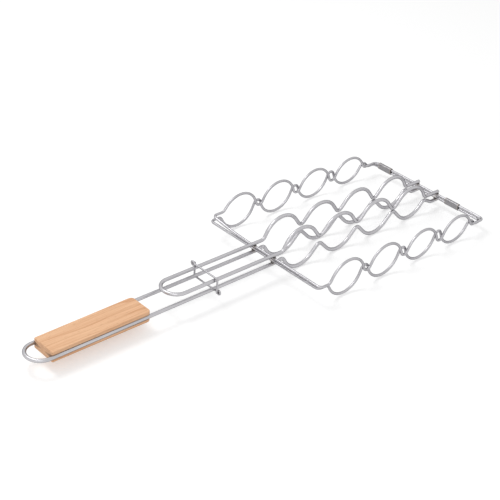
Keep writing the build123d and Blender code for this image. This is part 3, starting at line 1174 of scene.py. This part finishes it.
def cross_bar(x: float, z: float, middle: float, into: int) -> Array:
    """Centre line of a level bar whose ends turn through a right angle, from right to left.

    Args:
        x: place of the bar.
        z: height of the bar.
        middle: middle of the bar along Y.
        into: 1 where the ends point to the hinge, -1 where they point to the handle.

    Returns:
        The centre line.
    """
    half, corner = PLAN.outer_half, PLAN.corner_radius
    back = np.array((-into * corner, 0.0, 0.0))
    outward = np.array((0.0, corner, 0.0))
    right = arc((x + into * corner, middle - half + corner, z), -outward, back, 90.0)
    left = arc((x + into * corner, middle + half - corner, z), back, outward, 90.0)
    return join_runs(right, left)


@dataclass
class CageHalf:
    """What both halves share: an end loop on two legs, two inner rows, two outer rows and two bars.

    A half has its own body and the first words of its pieces' names, and works out its rows.
    """

    workshop: Workshop
    body: Body
    grip_name: str
    cage_name: str
    plan: Plan = PLAN
    rod: RoundSection = field(default_factory=lambda: RoundSection(PLAN.rod_radius, 32))
    frame_wire: RoundSection = field(default_factory=lambda: RoundSection(PLAN.frame_radius, 24))

    def outer_row(self, side: Side) -> Array:
        """Centre line of an outer row, which each half works out for itself."""
        raise NotImplementedError

    def inner_row(self, side: Side) -> Array:
        """Centre line of an inner row, which each half works out for itself."""
        raise NotImplementedError

    def make_wires(self, loop_x: float, rod_z: float, front_bar: Array, hinge_bar: Array) -> None:
        """Makes every wire of the half.

        Args:
            loop_x: where the end loop starts.
            rod_z: height of the legs.
            front_bar: centre line of the front bar.
            hinge_bar: centre line of the hinge bar.
        """
        plan, wire, body = self.plan, self.workshop.wire, self.body
        for side in Side:
            name = side.name.lower()
            y = side.value * plan.inner_half
            leg = np.array(((loop_x, y, rod_z), (plan.butt_x, y, rod_z)))
            row = f"{self.cage_name}_{name}"
            wire(f"{self.grip_name}_{name}_leg", leg, self.rod, body, Slot.ROD)
            wire(f"{row}_inner_wave", self.inner_row(side), self.rod, body, Slot.ROD, rounded=(False, True))
            wire(f"{row}_outer_wave", self.outer_row(side), self.frame_wire, body, Slot.FRAME)
        loop = end_loop(loop_x, plan.inner_half, rod_z)
        into, away = (-AHEAD, AHEAD), (AHEAD, -AHEAD)
        wire(f"{self.grip_name}_loop", loop, self.rod, body, Slot.ROD, heads=into)
        wire(f"{self.cage_name}_front_crossbar", front_bar, self.frame_wire, body, Slot.FRAME, heads=into)
        wire(f"{self.cage_name}_hinge_bar", hinge_bar, self.frame_wire, body, Slot.FRAME, heads=away)


@dataclass
class LowerHalf(CageHalf):
    """The lower half, which the handle rod runs through from its end loop to the hinge."""

    body: Body = Body.LOWER
    grip_name: str = "handle"
    cage_name: str = "bottom"

    def end_humps(self, seat_z: float, front_z: float, hump_z: float) -> tuple[Bend, Bend]:
        """The bends that clear the first seat's arc in front and the last seat's arc behind."""
        plan = self.plan
        last_seat = plan.seat_x(plan.seat_count - 1)
        front_x = -plan.beside_seat(plan.seat_radius, seat_z, front_z)
        hump_x = last_seat + plan.beside_seat(plan.seat_radius, seat_z, hump_z)
        return Bend(front_x, front_z, plan.link_radius, -1), Bend(hump_x, hump_z, plan.link_radius, -1)

    def outer_row(self, side: Side) -> Array:
        """Centre line of an outer row, from the front corner to the hinge corner."""
        plan = self.plan
        seat_z = plan.trough_z + plan.outer_lift + plan.seat_radius
        front_z = plan.front_bar_z - plan.link_radius
        hump_z = plan.low_hinge_z + plan.tail_hump - plan.link_radius
        corner = plan.hinge_x - plan.corner_radius
        front, hump = self.end_humps(seat_z, front_z, hump_z)
        tail = Bend(corner - plan.tail_radius, plan.low_hinge_z + plan.tail_radius, plan.tail_radius, 1)
        y = side.value * plan.outer_half + plan.side_shift
        start, end = (plan.front_x + plan.corner_radius, plan.front_bar_z), (corner, plan.low_hinge_z)
        return CageRow(plan).lower(y, plan.outer_lift, plan.outer_peak, ([front], [hump, tail]), start, end)

    def inner_row(self, side: Side) -> Array:
        """Centre line of an inner row, from the handle leg to its stub past the hinge bar."""
        plan = self.plan
        under = plan.low_hinge_z - plan.crossing
        seat_z = plan.trough_z + plan.seat_radius
        front_z = plan.handle_z + plan.small_rise - plan.link_radius
        hump_z = under + plan.inner_tail_hump - plan.link_radius
        front, hump = self.end_humps(seat_z, front_z, hump_z)
        rise_x = plan.front_x + plan.rod_radius + plan.frame_radius
        rise = Bend(rise_x, plan.handle_z + plan.rise_radius, plan.rise_radius, 1)
        tail_x = plan.hinge_x - plan.frame_radius - plan.inner_tail_radius
        tail = Bend(tail_x, under + plan.inner_tail_radius, plan.inner_tail_radius, 1)
        start, end = (plan.butt_x, plan.handle_z), (plan.rod_end_x, under)
        y = side.value * plan.inner_half
        return CageRow(plan).lower(y, 0.0, plan.inner_peak, ([rise, front], [hump, tail]), start, end)

    def build(self) -> None:
        """Makes every wire of the lower half."""
        plan = self.plan
        front = cross_bar(plan.front_x, plan.front_bar_z, plan.side_shift, 1)
        hinge = cross_bar(plan.hinge_x, plan.low_hinge_z, plan.side_shift, -1)
        self.make_wires(plan.loop_x, plan.handle_z, front, hinge)


@dataclass
class Lid(CageHalf):
    """The lid, whose legs run back over the handle to their own end loop."""

    body: Body = Body.LID
    grip_name: str = "lid"
    cage_name: str = "lid"
    bow_start_past_rod: float = 6.0
    bow_tries: int = 30

    def rise(self, side: Side) -> float:
        """How far the lid's front corner is sprung up: only the left one is."""
        return self.plan.left_end_rise if side is Side.LEFT else 0.0

    def outer_row(self, side: Side) -> Array:
        """Centre line of an outer row."""
        plan = self.plan
        crest = plan.top_hinge_z + plan.lid_crest
        levels = (plan.lid_bar_z + self.rise(side), plan.top_hinge_z)
        start, end = plan.front_x + plan.corner_radius, plan.hinge_x - plan.corner_radius
        y = side.value * plan.outer_half - plan.side_shift
        return CageRow(plan).upper(y, crest, plan.lid_valley_drop, levels, start, end)

    def inner_row(self, side: Side) -> Array:
        """Centre line of an inner row, from the lid leg to its stub past the hinge bar."""
        plan = self.plan
        crest = plan.top_hinge_z + plan.lid_crest + plan.inner_crest_rise
        levels = (plan.lid_rod_z, plan.top_hinge_z + plan.crossing)
        drop = plan.inner_valley_drop(crest)
        y = side.value * plan.inner_half
        return CageRow(plan).upper(y, crest, drop, levels, plan.butt_x, plan.rod_end_x)

    def front_bar(self) -> Array:
        """Centre line of the front bar: level on the right, then an arc up to the left corner.

        The arc's lean is found by repeating lean = lean sqrt(rise / reached) until the corner's
        end is as high as the left outer row.

        Returns:
            The bar's centre line, from right to left.
        """
        plan = self.plan
        x, z, half, corner = plan.front_x, plan.lid_bar_z, plan.outer_half, plan.corner_radius
        bow_start = plan.inner_half + self.bow_start_past_rod
        run = half - bow_start
        lean = 2.0 * plan.left_end_rise / run
        for _ in range(self.bow_tries):
            radius = (run - corner * math.cos(lean)) / math.sin(lean)
            reached = radius * (1.0 - math.cos(lean)) + corner * math.sin(lean)
            lean *= math.sqrt(plan.left_end_rise / reached)
        radius = (run - corner * math.cos(lean)) / math.sin(lean)
        back = np.array((-corner, 0.0, 0.0))
        right = arc((x + corner, -half + corner, z), np.array((0.0, -corner, 0.0)), back, 90.0)
        middle = (x, bow_start, z + radius)
        bow = arc(middle, -radius * UP, np.array((0.0, radius, 0.0)), math.degrees(lean), 1.0)
        outward = corner * np.array((0.0, math.cos(lean), math.sin(lean)))
        left = arc(bow[-1] - back, back, outward, 90.0)
        return join_runs(right, bow, left) - np.array((0.0, plan.side_shift, 0.0))

    def build(self) -> None:
        """Makes every wire of the lid."""
        plan = self.plan
        hinge = cross_bar(plan.hinge_x, plan.top_hinge_z, -plan.side_shift, -1)
        self.make_wires(plan.lid_loop_x, plan.lid_rod_z, self.front_bar(), hinge)


@dataclass
class LatchRing:
    """The sliding ring: two bent wires, each with an eye that the other one's hook passes through."""

    workshop: Workshop
    plan: Plan = PLAN
    reach: float = 83.0
    half: float = 19.5
    gap: float = 0.5
    plane_gap: float = 2.9
    eye_radius: float = 2.2
    neck_radius: float = 1.2
    eye_sweep: float = 285.0
    bend: float = 2.5
    hook_bend: float = 1.3
    hook_tail: float = 1.3
    curl_step: float = 10.0
    section: RoundSection = field(default_factory=lambda: RoundSection(PLAN.latch_radius, 20, 1.5, 0.3))
    cut_ends: Pair = (0.6, 1.0)

    def eye(self, middle: Array, outward: Array, lift: Array) -> Array:
        """Centre line of an eye, from its open tip round to the neck where the bar begins.

        The neck is an arc that leaves the bar and touches the eye's circle from outside, so its
        middle lies sqrt(eye radius squared + 2 eye radius x neck radius) before the eye's.

        Args:
            middle: middle of the eye.
            outward: unit vector along the bar towards the eye.
            lift: unit vector across the bar, on the neck's side.

        Returns:
            Points from the tip to the bar.
        """
        neck, circle = self.neck_radius, self.eye_radius
        before = math.sqrt(circle**2 + 2.0 * circle * neck)
        slope = math.atan2(neck, before)
        neck_middle = middle - before * outward + neck * lift
        bend = arc(neck_middle, -neck * lift, neck * outward, 90.0 - math.degrees(slope), self.curl_step)
        touch = circle * (-math.cos(slope) * outward + math.sin(slope) * lift)
        onward = circle * (math.sin(slope) * outward + math.cos(slope) * lift)
        ring = arc(middle, touch, onward, self.eye_sweep, self.curl_step)
        return join_runs(bend, ring)[::-1]

    def wire_line(self, upper: bool) -> Array:
        """Centre line of one half of the ring: eye, bar, side and hook.

        Args:
            upper: True for the half whose bar lies over the lid's legs.

        Returns:
            The centre line.
        """
        plan = self.plan
        up = 1.0 if upper else -1.0
        top = plan.lid_rod_z + plan.rod_radius + self.gap + plan.latch_radius
        bottom = plan.handle_z - plan.rod_radius - self.gap - plan.latch_radius
        bar_z, far_z = (top, bottom) if upper else (bottom, top)
        x = plan.front_x - self.reach + (0.0 if upper else self.plane_gap)
        side_y = -up * self.half
        outward = np.array((0.0, up, 0.0))
        away = np.array((0.0, 0.0, -up))
        along = np.array((up, 0.0, 0.0))
        eye = self.eye(np.array((x, -side_y, bar_z)), outward, -away)
        near, far = np.array((x, side_y, bar_z)), np.array((x, side_y, far_z))
        corner = arc(near + self.bend * (outward + away), -self.bend * away, -self.bend * outward, 90.0)
        curl = self.hook_bend
        hook = arc(far + curl * (along - away), -curl * along, curl * away, 90.0, self.curl_step)
        tail = far + (self.plane_gap + self.hook_tail) * along
        return join_runs(eye, corner, hook, tail)

    def build(self) -> None:
        """Makes both wires of the ring."""
        for name, upper in (("latch_wire_upper", True), ("latch_wire_lower", False)):
            self.workshop.wire(
                name, self.wire_line(upper), self.section, Body.LATCH, Slot.LATCH, rounded=(True, True),
                reference=SLANT, cut_ends=self.cut_ends,
            )


@dataclass
class HingeSleeves:
    """Two sleeves rolled from sheet: tight round the lower hinge bar and free round the lid's."""

    workshop: Workshop
    plan: Plan = PLAN
    length: float = 20.0
    sheet: float = 0.6
    left_inset: float = 19.7
    right_outset: float = 25.2
    grip: float = 0.05
    play: float = 0.35
    seam_angle: float = 222.0
    seam_gap: float = 0.5
    rim: float = 0.25
    first_steps: int = 26
    lid_steps: int = 40
    last_steps: int = 8
    rim_steps: int = 5
    length_steps: int = 9
    rim_reach: float = 1.2
    rim_dark: float = 0.55
    # Painted shade inside the rolled sleeve.
    painted_inside_shade: float = 0.9

    def surface(self, y: float) -> Surface:
        """Rolled strip: middle line + (radius ± half the sheet) times its outward direction.

        The middle line is an arc round the lower bar, an arc round the lid bar and the lower arc
        again, joined by straights where the outward direction stays the same. The strip's two faces
        make one closed outline, which is carried along Y; near either rim the strip thins by
        rim (1 - sqrt(1 - s squared)), with s from 0 to 1 over the rim.

        Args:
            y: middle of the sleeve.

        Returns:
            The closed surface.
        """
        plan = self.plan
        low = plan.frame_radius + self.grip + self.sheet / 2
        high = plan.frame_radius + self.play + self.sheet / 2
        step = plan.top_hinge_z - plan.low_hinge_z
        flare = math.degrees(math.asin((high - low) / step))
        open_half = math.degrees(self.seam_gap / 2 / low)
        first = turns(self.seam_angle - 360.0 + open_half, -flare, self.first_steps)
        second = turns(-flare, 180.0 + flare, self.lid_steps)
        third = turns(180.0 + flare, self.seam_angle - open_half, self.last_steps)
        angle = np.concatenate((first, second, third))
        counts = (self.first_steps, self.lid_steps, self.last_steps)
        radius = np.repeat((low, high, low), counts)
        height = np.repeat((0.0, step, 0.0), counts)
        rim_turn = np.linspace(1.0, 0.0, self.rim_steps)
        inset = self.rim * round_off(rim_turn)
        rim_place = self.length / 2 - self.rim * (1.0 - rim_turn)
        middle_place = np.linspace(1.0, -1.0, self.length_steps)[1:-1] * (self.length / 2 - self.rim)
        place = np.concatenate((rim_place, middle_place, -rim_place[::-1]))
        half = self.sheet / 2 - np.concatenate((inset, np.zeros(len(middle_place)), inset[::-1]))
        outer, inner = radius[None, :] + half[:, None], radius[None, :] - half[:, None]
        across = np.concatenate((outer, inner[:, ::-1]), axis=1)
        turned = np.concatenate((angle, angle[::-1]))
        lifted = np.concatenate((height, height[::-1]))
        points = np.stack(
            (
                plan.hinge_x + across * np.cos(turned),
                np.broadcast_to(y + place[:, None], across.shape),
                plan.low_hinge_z + lifted + across * np.sin(turned),
            ),
            -1,
        )
        rings, around = across.shape
        strip = len(angle)
        here = np.arange(strip - 1)
        back = around - 1 - here
        last = (rings - 1) * around
        end_cap = np.column_stack((here, here + 1, back - 1, back)) + last
        start_cap = np.column_stack((here, back, back - 1, here + 1))
        grain = np.stack(np.broadcast_arrays(place[:, None], 0.0 * across, turned * low), -1)
        faces = np.vstack((grid_faces(rings, around), start_cap, end_cap))
        return Surface(points.reshape(-1, 3), faces, np.empty((0, 3), int), grain.reshape(-1, 3), rings)

    def build(self) -> None:
        """Makes both sleeves, with painted shade inside and a little dark at their rims where they were cut.
        """
        plan = self.plan
        places = {
            Side.LEFT: plan.outer_half + plan.side_shift - self.left_inset,
            Side.RIGHT: -plan.inner_half - self.right_outset,
        }
        for side, y in places.items():
            surface = self.surface(y)
            node = f"hinge_sleeve_{side.name.lower()}"
            piece = self.workshop.raise_piece(node + "_sheet", surface)
            edge = 1.0 - (self.length / 2 - np.abs(surface.points[:, 1] - y)) / self.rim_reach
            strip = len(surface.points) // surface.ring_count // 2
            # The inside of the sleeve gets painted shade, carried by the weld heat attribute.
            inner = np.tile(np.repeat((0.0, self.painted_inside_shade), strip), surface.ring_count)
            dark = np.maximum(inner, self.rim_dark * np.clip(edge, 0.0, 1.0))
            self.workshop.paint(piece, "weld_heat", dark)
            self.workshop.stand_in(piece, node, Body.LOWER, Slot.SLEEVE)


@dataclass
class WoodenGrip:
    """The grip: a tapered block of beech with a groove along each side for the handle rod."""

    workshop: Workshop
    plan: Plan = PLAN
    front_width: float = 32.0
    back_width: float = 30.4
    thickness: float = 12.0
    edge_round: float = 1.0
    corner_round: float = 5.0
    groove_play: float = 0.25
    lip: float = 0.25
    edge_steps: int = 7
    corner_steps: int = 30
    length_steps: int = 35
    flat_steps: int = 8
    wall_steps: int = 3
    groove_steps: int = 16
    end_reach: float = 1.6
    end_share: float = 0.7

    def stations(self) -> tuple[Array, Array, Array]:
        """Places along the grip with its half width and half thickness there.

        The half width runs straight from back to front and loses corner (1 - sqrt(1 - s squared))
        over the front corner. Both sizes lose the edge rounding the same way at their ends.

        Returns:
            Place, half width and half thickness, one number each for every station.
        """
        plan, edge, corner = self.plan, self.edge_round, self.corner_round
        back_x, front_x = plan.grip_back_x, plan.grip_front_x
        back = back_x + edge * (1.0 - np.cos(turns(0.0, 90.0, self.edge_steps)))
        front = front_x - corner + corner * np.sin(turns(0.0, 90.0, self.corner_steps + 1))
        x = np.concatenate((back, np.linspace(back[-1], front[0], self.length_steps + 1)[1:-1], front))
        half = (self.back_width + (self.front_width - self.back_width) * (x - back_x) / plan.grip_length) / 2
        into_corner = np.clip((x - front_x) / corner + 1.0, 0.0, 1.0)
        into_back = np.clip(1.0 - (x - back_x) / edge, 0.0, 1.0)
        into_end = np.maximum(into_back, np.clip(1.0 - (front_x - x) / edge, 0.0, 1.0))
        half = half - corner * round_off(into_corner) - edge * round_off(into_back)
        deep = self.thickness / 2 - edge * round_off(into_end)
        return x, half, deep

    def half_section(self, half: Array, deep: Array) -> tuple[Array, Array, Array, Array]:
        """One side of the section at every station, from the bottom's middle up to the top's.

        It is a flat, an arc round the edge, a wall, the groove's half circle with flared lips, and
        the same again upwards. Inside the groove a point is no further out than the half width.

        Args:
            half: half width at each station.
            deep: half thickness at each station.

        Returns:
            Y and z of each point, and how much each point of the section is edge and groove.
        """
        edge = self.edge_round
        bore = self.plan.rod_radius + self.groove_play
        flat = np.linspace(0.0, 1.0, self.flat_steps + 1)[:-1]
        turn = turns(-90.0, 0.0, self.edge_steps + 1)
        climb = np.linspace(0.0, 1.0, self.wall_steps + 1)[1:]
        lip = bore + self.lip
        y_share = np.concatenate((flat, np.ones(len(turn) + len(climb))))
        y_shift = np.concatenate((-flat * edge, edge * (np.cos(turn) - 1.0), 0.0 * climb))
        z_share = np.concatenate((-np.ones(len(flat) + len(turn)), climb - 1.0))
        wall_shift = edge * (1.0 - climb) - lip * climb
        z_shift = np.concatenate((0.0 * flat, edge * (1.0 + np.sin(turn)), wall_shift))
        low_y = half[:, None] * y_share + y_shift
        low_z = deep[:, None] * z_share + z_shift
        swing = turns(-90.0, 90.0, self.groove_steps + 1)
        groove_y = np.minimum(half[:, None], self.plan.inner_half - bore * np.cos(swing))
        groove_z = np.broadcast_to(bore * np.sin(swing), groove_y.shape)
        y = np.concatenate((low_y, groove_y, low_y[:, ::-1]), axis=1)
        z = np.concatenate((low_z, groove_z, -low_z[:, ::-1]), axis=1)
        rim = np.concatenate((0.0 * flat, np.sin(turns(0.0, 180.0, len(turn))), (0.0, 0.0, 0.5)))
        edges = np.concatenate((rim, 0.0 * swing, rim[::-1]))
        grooves = np.concatenate((0.0 * rim, np.ones(len(swing)), 0.0 * rim))
        return y, z, edges, grooves

    def surface(self) -> tuple[Surface, Array, Array]:
        """The whole block: each side's section and its mirror image, carried along X.

        Returns:
            The surface, how much each corner is a handled edge, and how much it is groove.
        """
        x, half, deep = self.stations()
        y, z, edges, grooves = self.half_section(half, deep)
        ring_y = np.concatenate((y[:, :-1], -y[:, :0:-1]), axis=1)
        ring_z = np.concatenate((z[:, :-1], z[:, :0:-1]), axis=1)
        ring_x = np.broadcast_to(x[:, None], ring_y.shape)
        grid = np.stack((ring_x, ring_y, self.plan.handle_z + ring_z), -1)
        ends = np.array(((x[0], 0.0, self.plan.handle_z), (x[-1], 0.0, self.plan.handle_z)))
        near_end = np.clip(1.0 - np.minimum(x - x[0], x[-1] - x) / self.end_reach, 0.0, 1.0)[:, None]
        handled = np.maximum(np.concatenate((edges[:-1], edges[:0:-1]))[None, :], self.end_share * near_end)
        hollow = np.broadcast_to(np.concatenate((grooves[:-1], grooves[:0:-1]))[None, :], ring_y.shape)
        bare = np.zeros(len(ends))
        handled, hollow = (np.concatenate((share.ravel(), bare)) for share in (handled, hollow))
        return close_rings(grid, ends), handled, hollow

    def build(self) -> None:
        """Makes the grip."""
        surface, edges, grooves = self.surface()
        piece = self.workshop.raise_piece("wooden_grip_block", surface)
        self.workshop.paint(piece, "handled_edge", edges)
        self.workshop.paint(piece, "rod_groove", grooves)
        self.workshop.stand_in(piece, "wooden_grip", Body.LOWER, Slot.WOOD)


@dataclass
class WeldNuggets:
    """Lumps of weld metal squeezed out where the rods cross the bars."""

    workshop: Workshop
    plan: Plan = PLAN
    size: Triple = (2.3, 2.7, 1.0)
    seed: int = 7
    around: int = 28
    rings: int = 13
    drawn_out: float = 0.10
    waves: tuple[int, ...] = (2, 3, 4, 5, 6)
    swell: Pair = (0.01, 0.045)
    full_turn: float = 6.28

    def surface(self, middle: Array, random: np.random.Generator) -> Surface:
        """A squashed ball whose radius swells by a few seeded waves round it.

        Radius share = 1 + sum of amplitude x sin(k longitude + phase) x cos(latitude), and the four
        corners between rod and bar are drawn out by cos(4 longitude).

        Args:
            middle: middle of the weld.
            random: source of the amplitudes and phases.

        Returns:
            The closed surface.
        """
        latitude = turns(-90.0, 90.0, self.rings + 2)[1:-1][:, None]
        longitude = np.linspace(0.0, 2.0 * math.pi, self.around, endpoint=False)[None, :]
        level = np.cos(latitude)
        share = 1.0 - self.drawn_out * np.cos(4.0 * longitude) * level
        for wave in self.waves:
            amplitude = random.uniform(*self.swell)
            phase = random.uniform(0, self.full_turn)
            share = share + amplitude * np.sin(wave * longitude + phase) * level
        height = np.sin(latitude) + 0 * longitude
        way = np.stack((level * np.cos(longitude), level * np.sin(longitude), height), -1)
        points = middle + share[..., None] * way * np.array(self.size)
        poles = middle + np.array(((0.0, 0.0, -self.size[2]), (0.0, 0.0, self.size[2])))
        return close_rings(points, poles)

    def build(self) -> None:
        """Makes one nugget at each crossing."""
        random = np.random.default_rng(self.seed)
        for name, middle in Crossings(self.plan).points().items():
            surface = self.surface(middle, random)
            piece = self.workshop.raise_piece("weld_" + name, surface)
            piece.data.materials.append(self.workshop.finishes.weld)
            body = Body.LID if name.startswith("lid") else Body.LOWER
            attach(piece, body.value)
            log.info("weld at %s", name)


@dataclass
class Studio:
    """Pale floor, soft light and the camera at the photograph's place."""

    camera_place: Triple = (-0.8020, -0.8024, 0.72655)
    azimuth: float = -44.79
    elevation: float = 31.446
    roll: float = 4.927
    lens: float = 90.33
    floor_half: float = 7.0
    floor_tone: float = 0.80
    floor_glow: float = 0.38
    sky: float = 0.62
    squares: int = 8
    mottle: float = 0.004
    sensor: float = 36.0

    def seen_directly(self, bench: Bench) -> Socket:
        """1 for rays from the camera or off metal, else 0."""
        path = bench.node("LightPath")
        either = bench.maths("MAXIMUM", path.outputs["Is Camera Ray"], path.outputs["Is Glossy Ray"])
        return bench.maths("MAXIMUM", either, path.outputs["Is Transmission Ray"])

    def floor(self) -> None:
        """Lays the floor, which shows white with the object's shadow on it."""
        across = self.squares + 1
        steps = np.linspace(-self.floor_half, self.floor_half, across)
        x, y = np.meshgrid(steps, steps)
        points = np.column_stack((x.ravel(), y.ravel(), np.zeros(x.size)))
        column, row = np.meshgrid(np.arange(self.squares), np.arange(self.squares))
        corner = (row * across + column).ravel()
        faces = np.column_stack((corner, corner + 1, corner + across + 1, corner + across))
        mesh = bpy.data.meshes.new("studio_floor")
        mesh.from_pydata(points.tolist(), [], faces.tolist())
        material = bpy.data.materials.new("studio_floor")
        material.use_nodes = True
        bench = Bench(material.node_tree)
        bench.tree.nodes.clear()
        paper = bench.node("BsdfDiffuse")
        clouds = bench.noise(bench.place(), 3.0, 2.0)
        tone = bench.span(clouds, (0.0, 1.0), (self.floor_tone - self.mottle, self.floor_tone + self.mottle))
        bench.link(tone, paper.inputs["Color"])
        glow = bench.node("Emission")
        bench.link(bench.times(self.seen_directly(bench), self.floor_glow), glow.inputs["Strength"])
        both = bench.node("AddShader")
        bench.link(paper.outputs[0], both.inputs[0])
        bench.link(glow.outputs[0], both.inputs[1])
        bench.link(both.outputs[0], bench.node("OutputMaterial").inputs["Surface"])
        mesh.materials.append(material)
        sheet = bpy.data.objects.new("studio_floor", mesh)
        show(sheet)

    def world(self) -> None:
        """Lights the object evenly from all round and shows white behind it."""
        world = bpy.data.worlds.new("studio_world")
        world.use_nodes = True
        bench = Bench(world.node_tree)
        background = world.node_tree.nodes["Background"]
        background.inputs["Color"].default_value = colour(1.0, 1.0, 1.0)
        seen = self.seen_directly(bench)
        bench.link(bench.span(seen, (0.0, 1.0), (self.sky, 1.0)), background.inputs["Strength"])
        bpy.context.scene.world = world

    def lamp(self, name: str, place: Triple, size: Pair, power: float) -> None:
        """Hangs one soft lamp that looks at the basket.

        Args:
            name: the lamp's name.
            place: where it hangs, in metres.
            size: its length and width, in metres.
            power: its power, in watts.
        """
        light = bpy.data.lights.new(name, "AREA")
        light.shape = "RECTANGLE"
        light.size, light.size_y = size
        light.energy = power
        holder = bpy.data.objects.new(name, light)
        holder.location = place
        holder.rotation_euler = (-Vector(place)).to_track_quat("-Z", "Y").to_euler()
        show(holder)

    def camera(self) -> None:
        """Sets the camera up from its bearing, height angle and roll."""
        a, e, r = (math.radians(value) for value in (self.azimuth, self.elevation, self.roll))
        back = Vector((math.sin(a) * math.cos(e), -math.cos(a) * math.cos(e), math.sin(e)))
        level = Vector((math.cos(a), math.sin(a), 0.0))
        upright = level.cross(-back)
        right = math.cos(r) * level + math.sin(r) * upright
        upward = -math.sin(r) * level + math.cos(r) * upright
        data = bpy.data.cameras.new("photo_camera")
        data.lens = self.lens
        data.sensor_width = self.sensor
        holder = bpy.data.objects.new("photo_camera", data)
        turn = Matrix((right, upward, back)).transposed().to_4x4()
        holder.matrix_world = Matrix.Translation(self.camera_place) @ turn
        show(holder)
        bpy.context.scene.camera = holder

    def build(self) -> None:
        """Makes the whole studio."""
        self.floor()
        self.world()
        self.lamp("key_light", (-0.35, 0.55, 1.25), (0.55, 0.55), 5.5)
        self.lamp("fill_light", (-1.1, -0.9, 1.1), (0.9, 0.5), 2.6)
        self.camera()
        bpy.context.scene.view_settings.view_transform = "Standard"


def main() -> None:
    """Builds the basket sub-assembly by sub-assembly, then the studio."""
    logging.basicConfig(level=logging.INFO, format="%(message)s")
    workshop = Workshop(Finishes())
    for assembly in (
        LowerHalf(workshop),
        Lid(workshop),
        LatchRing(workshop),
        HingeSleeves(workshop),
        WoodenGrip(workshop),
        WeldNuggets(workshop),
        Studio(),
    ):
        assembly.build()
        log.info("built %s", type(assembly).__name__)


if __name__ == "__main__":
    main()
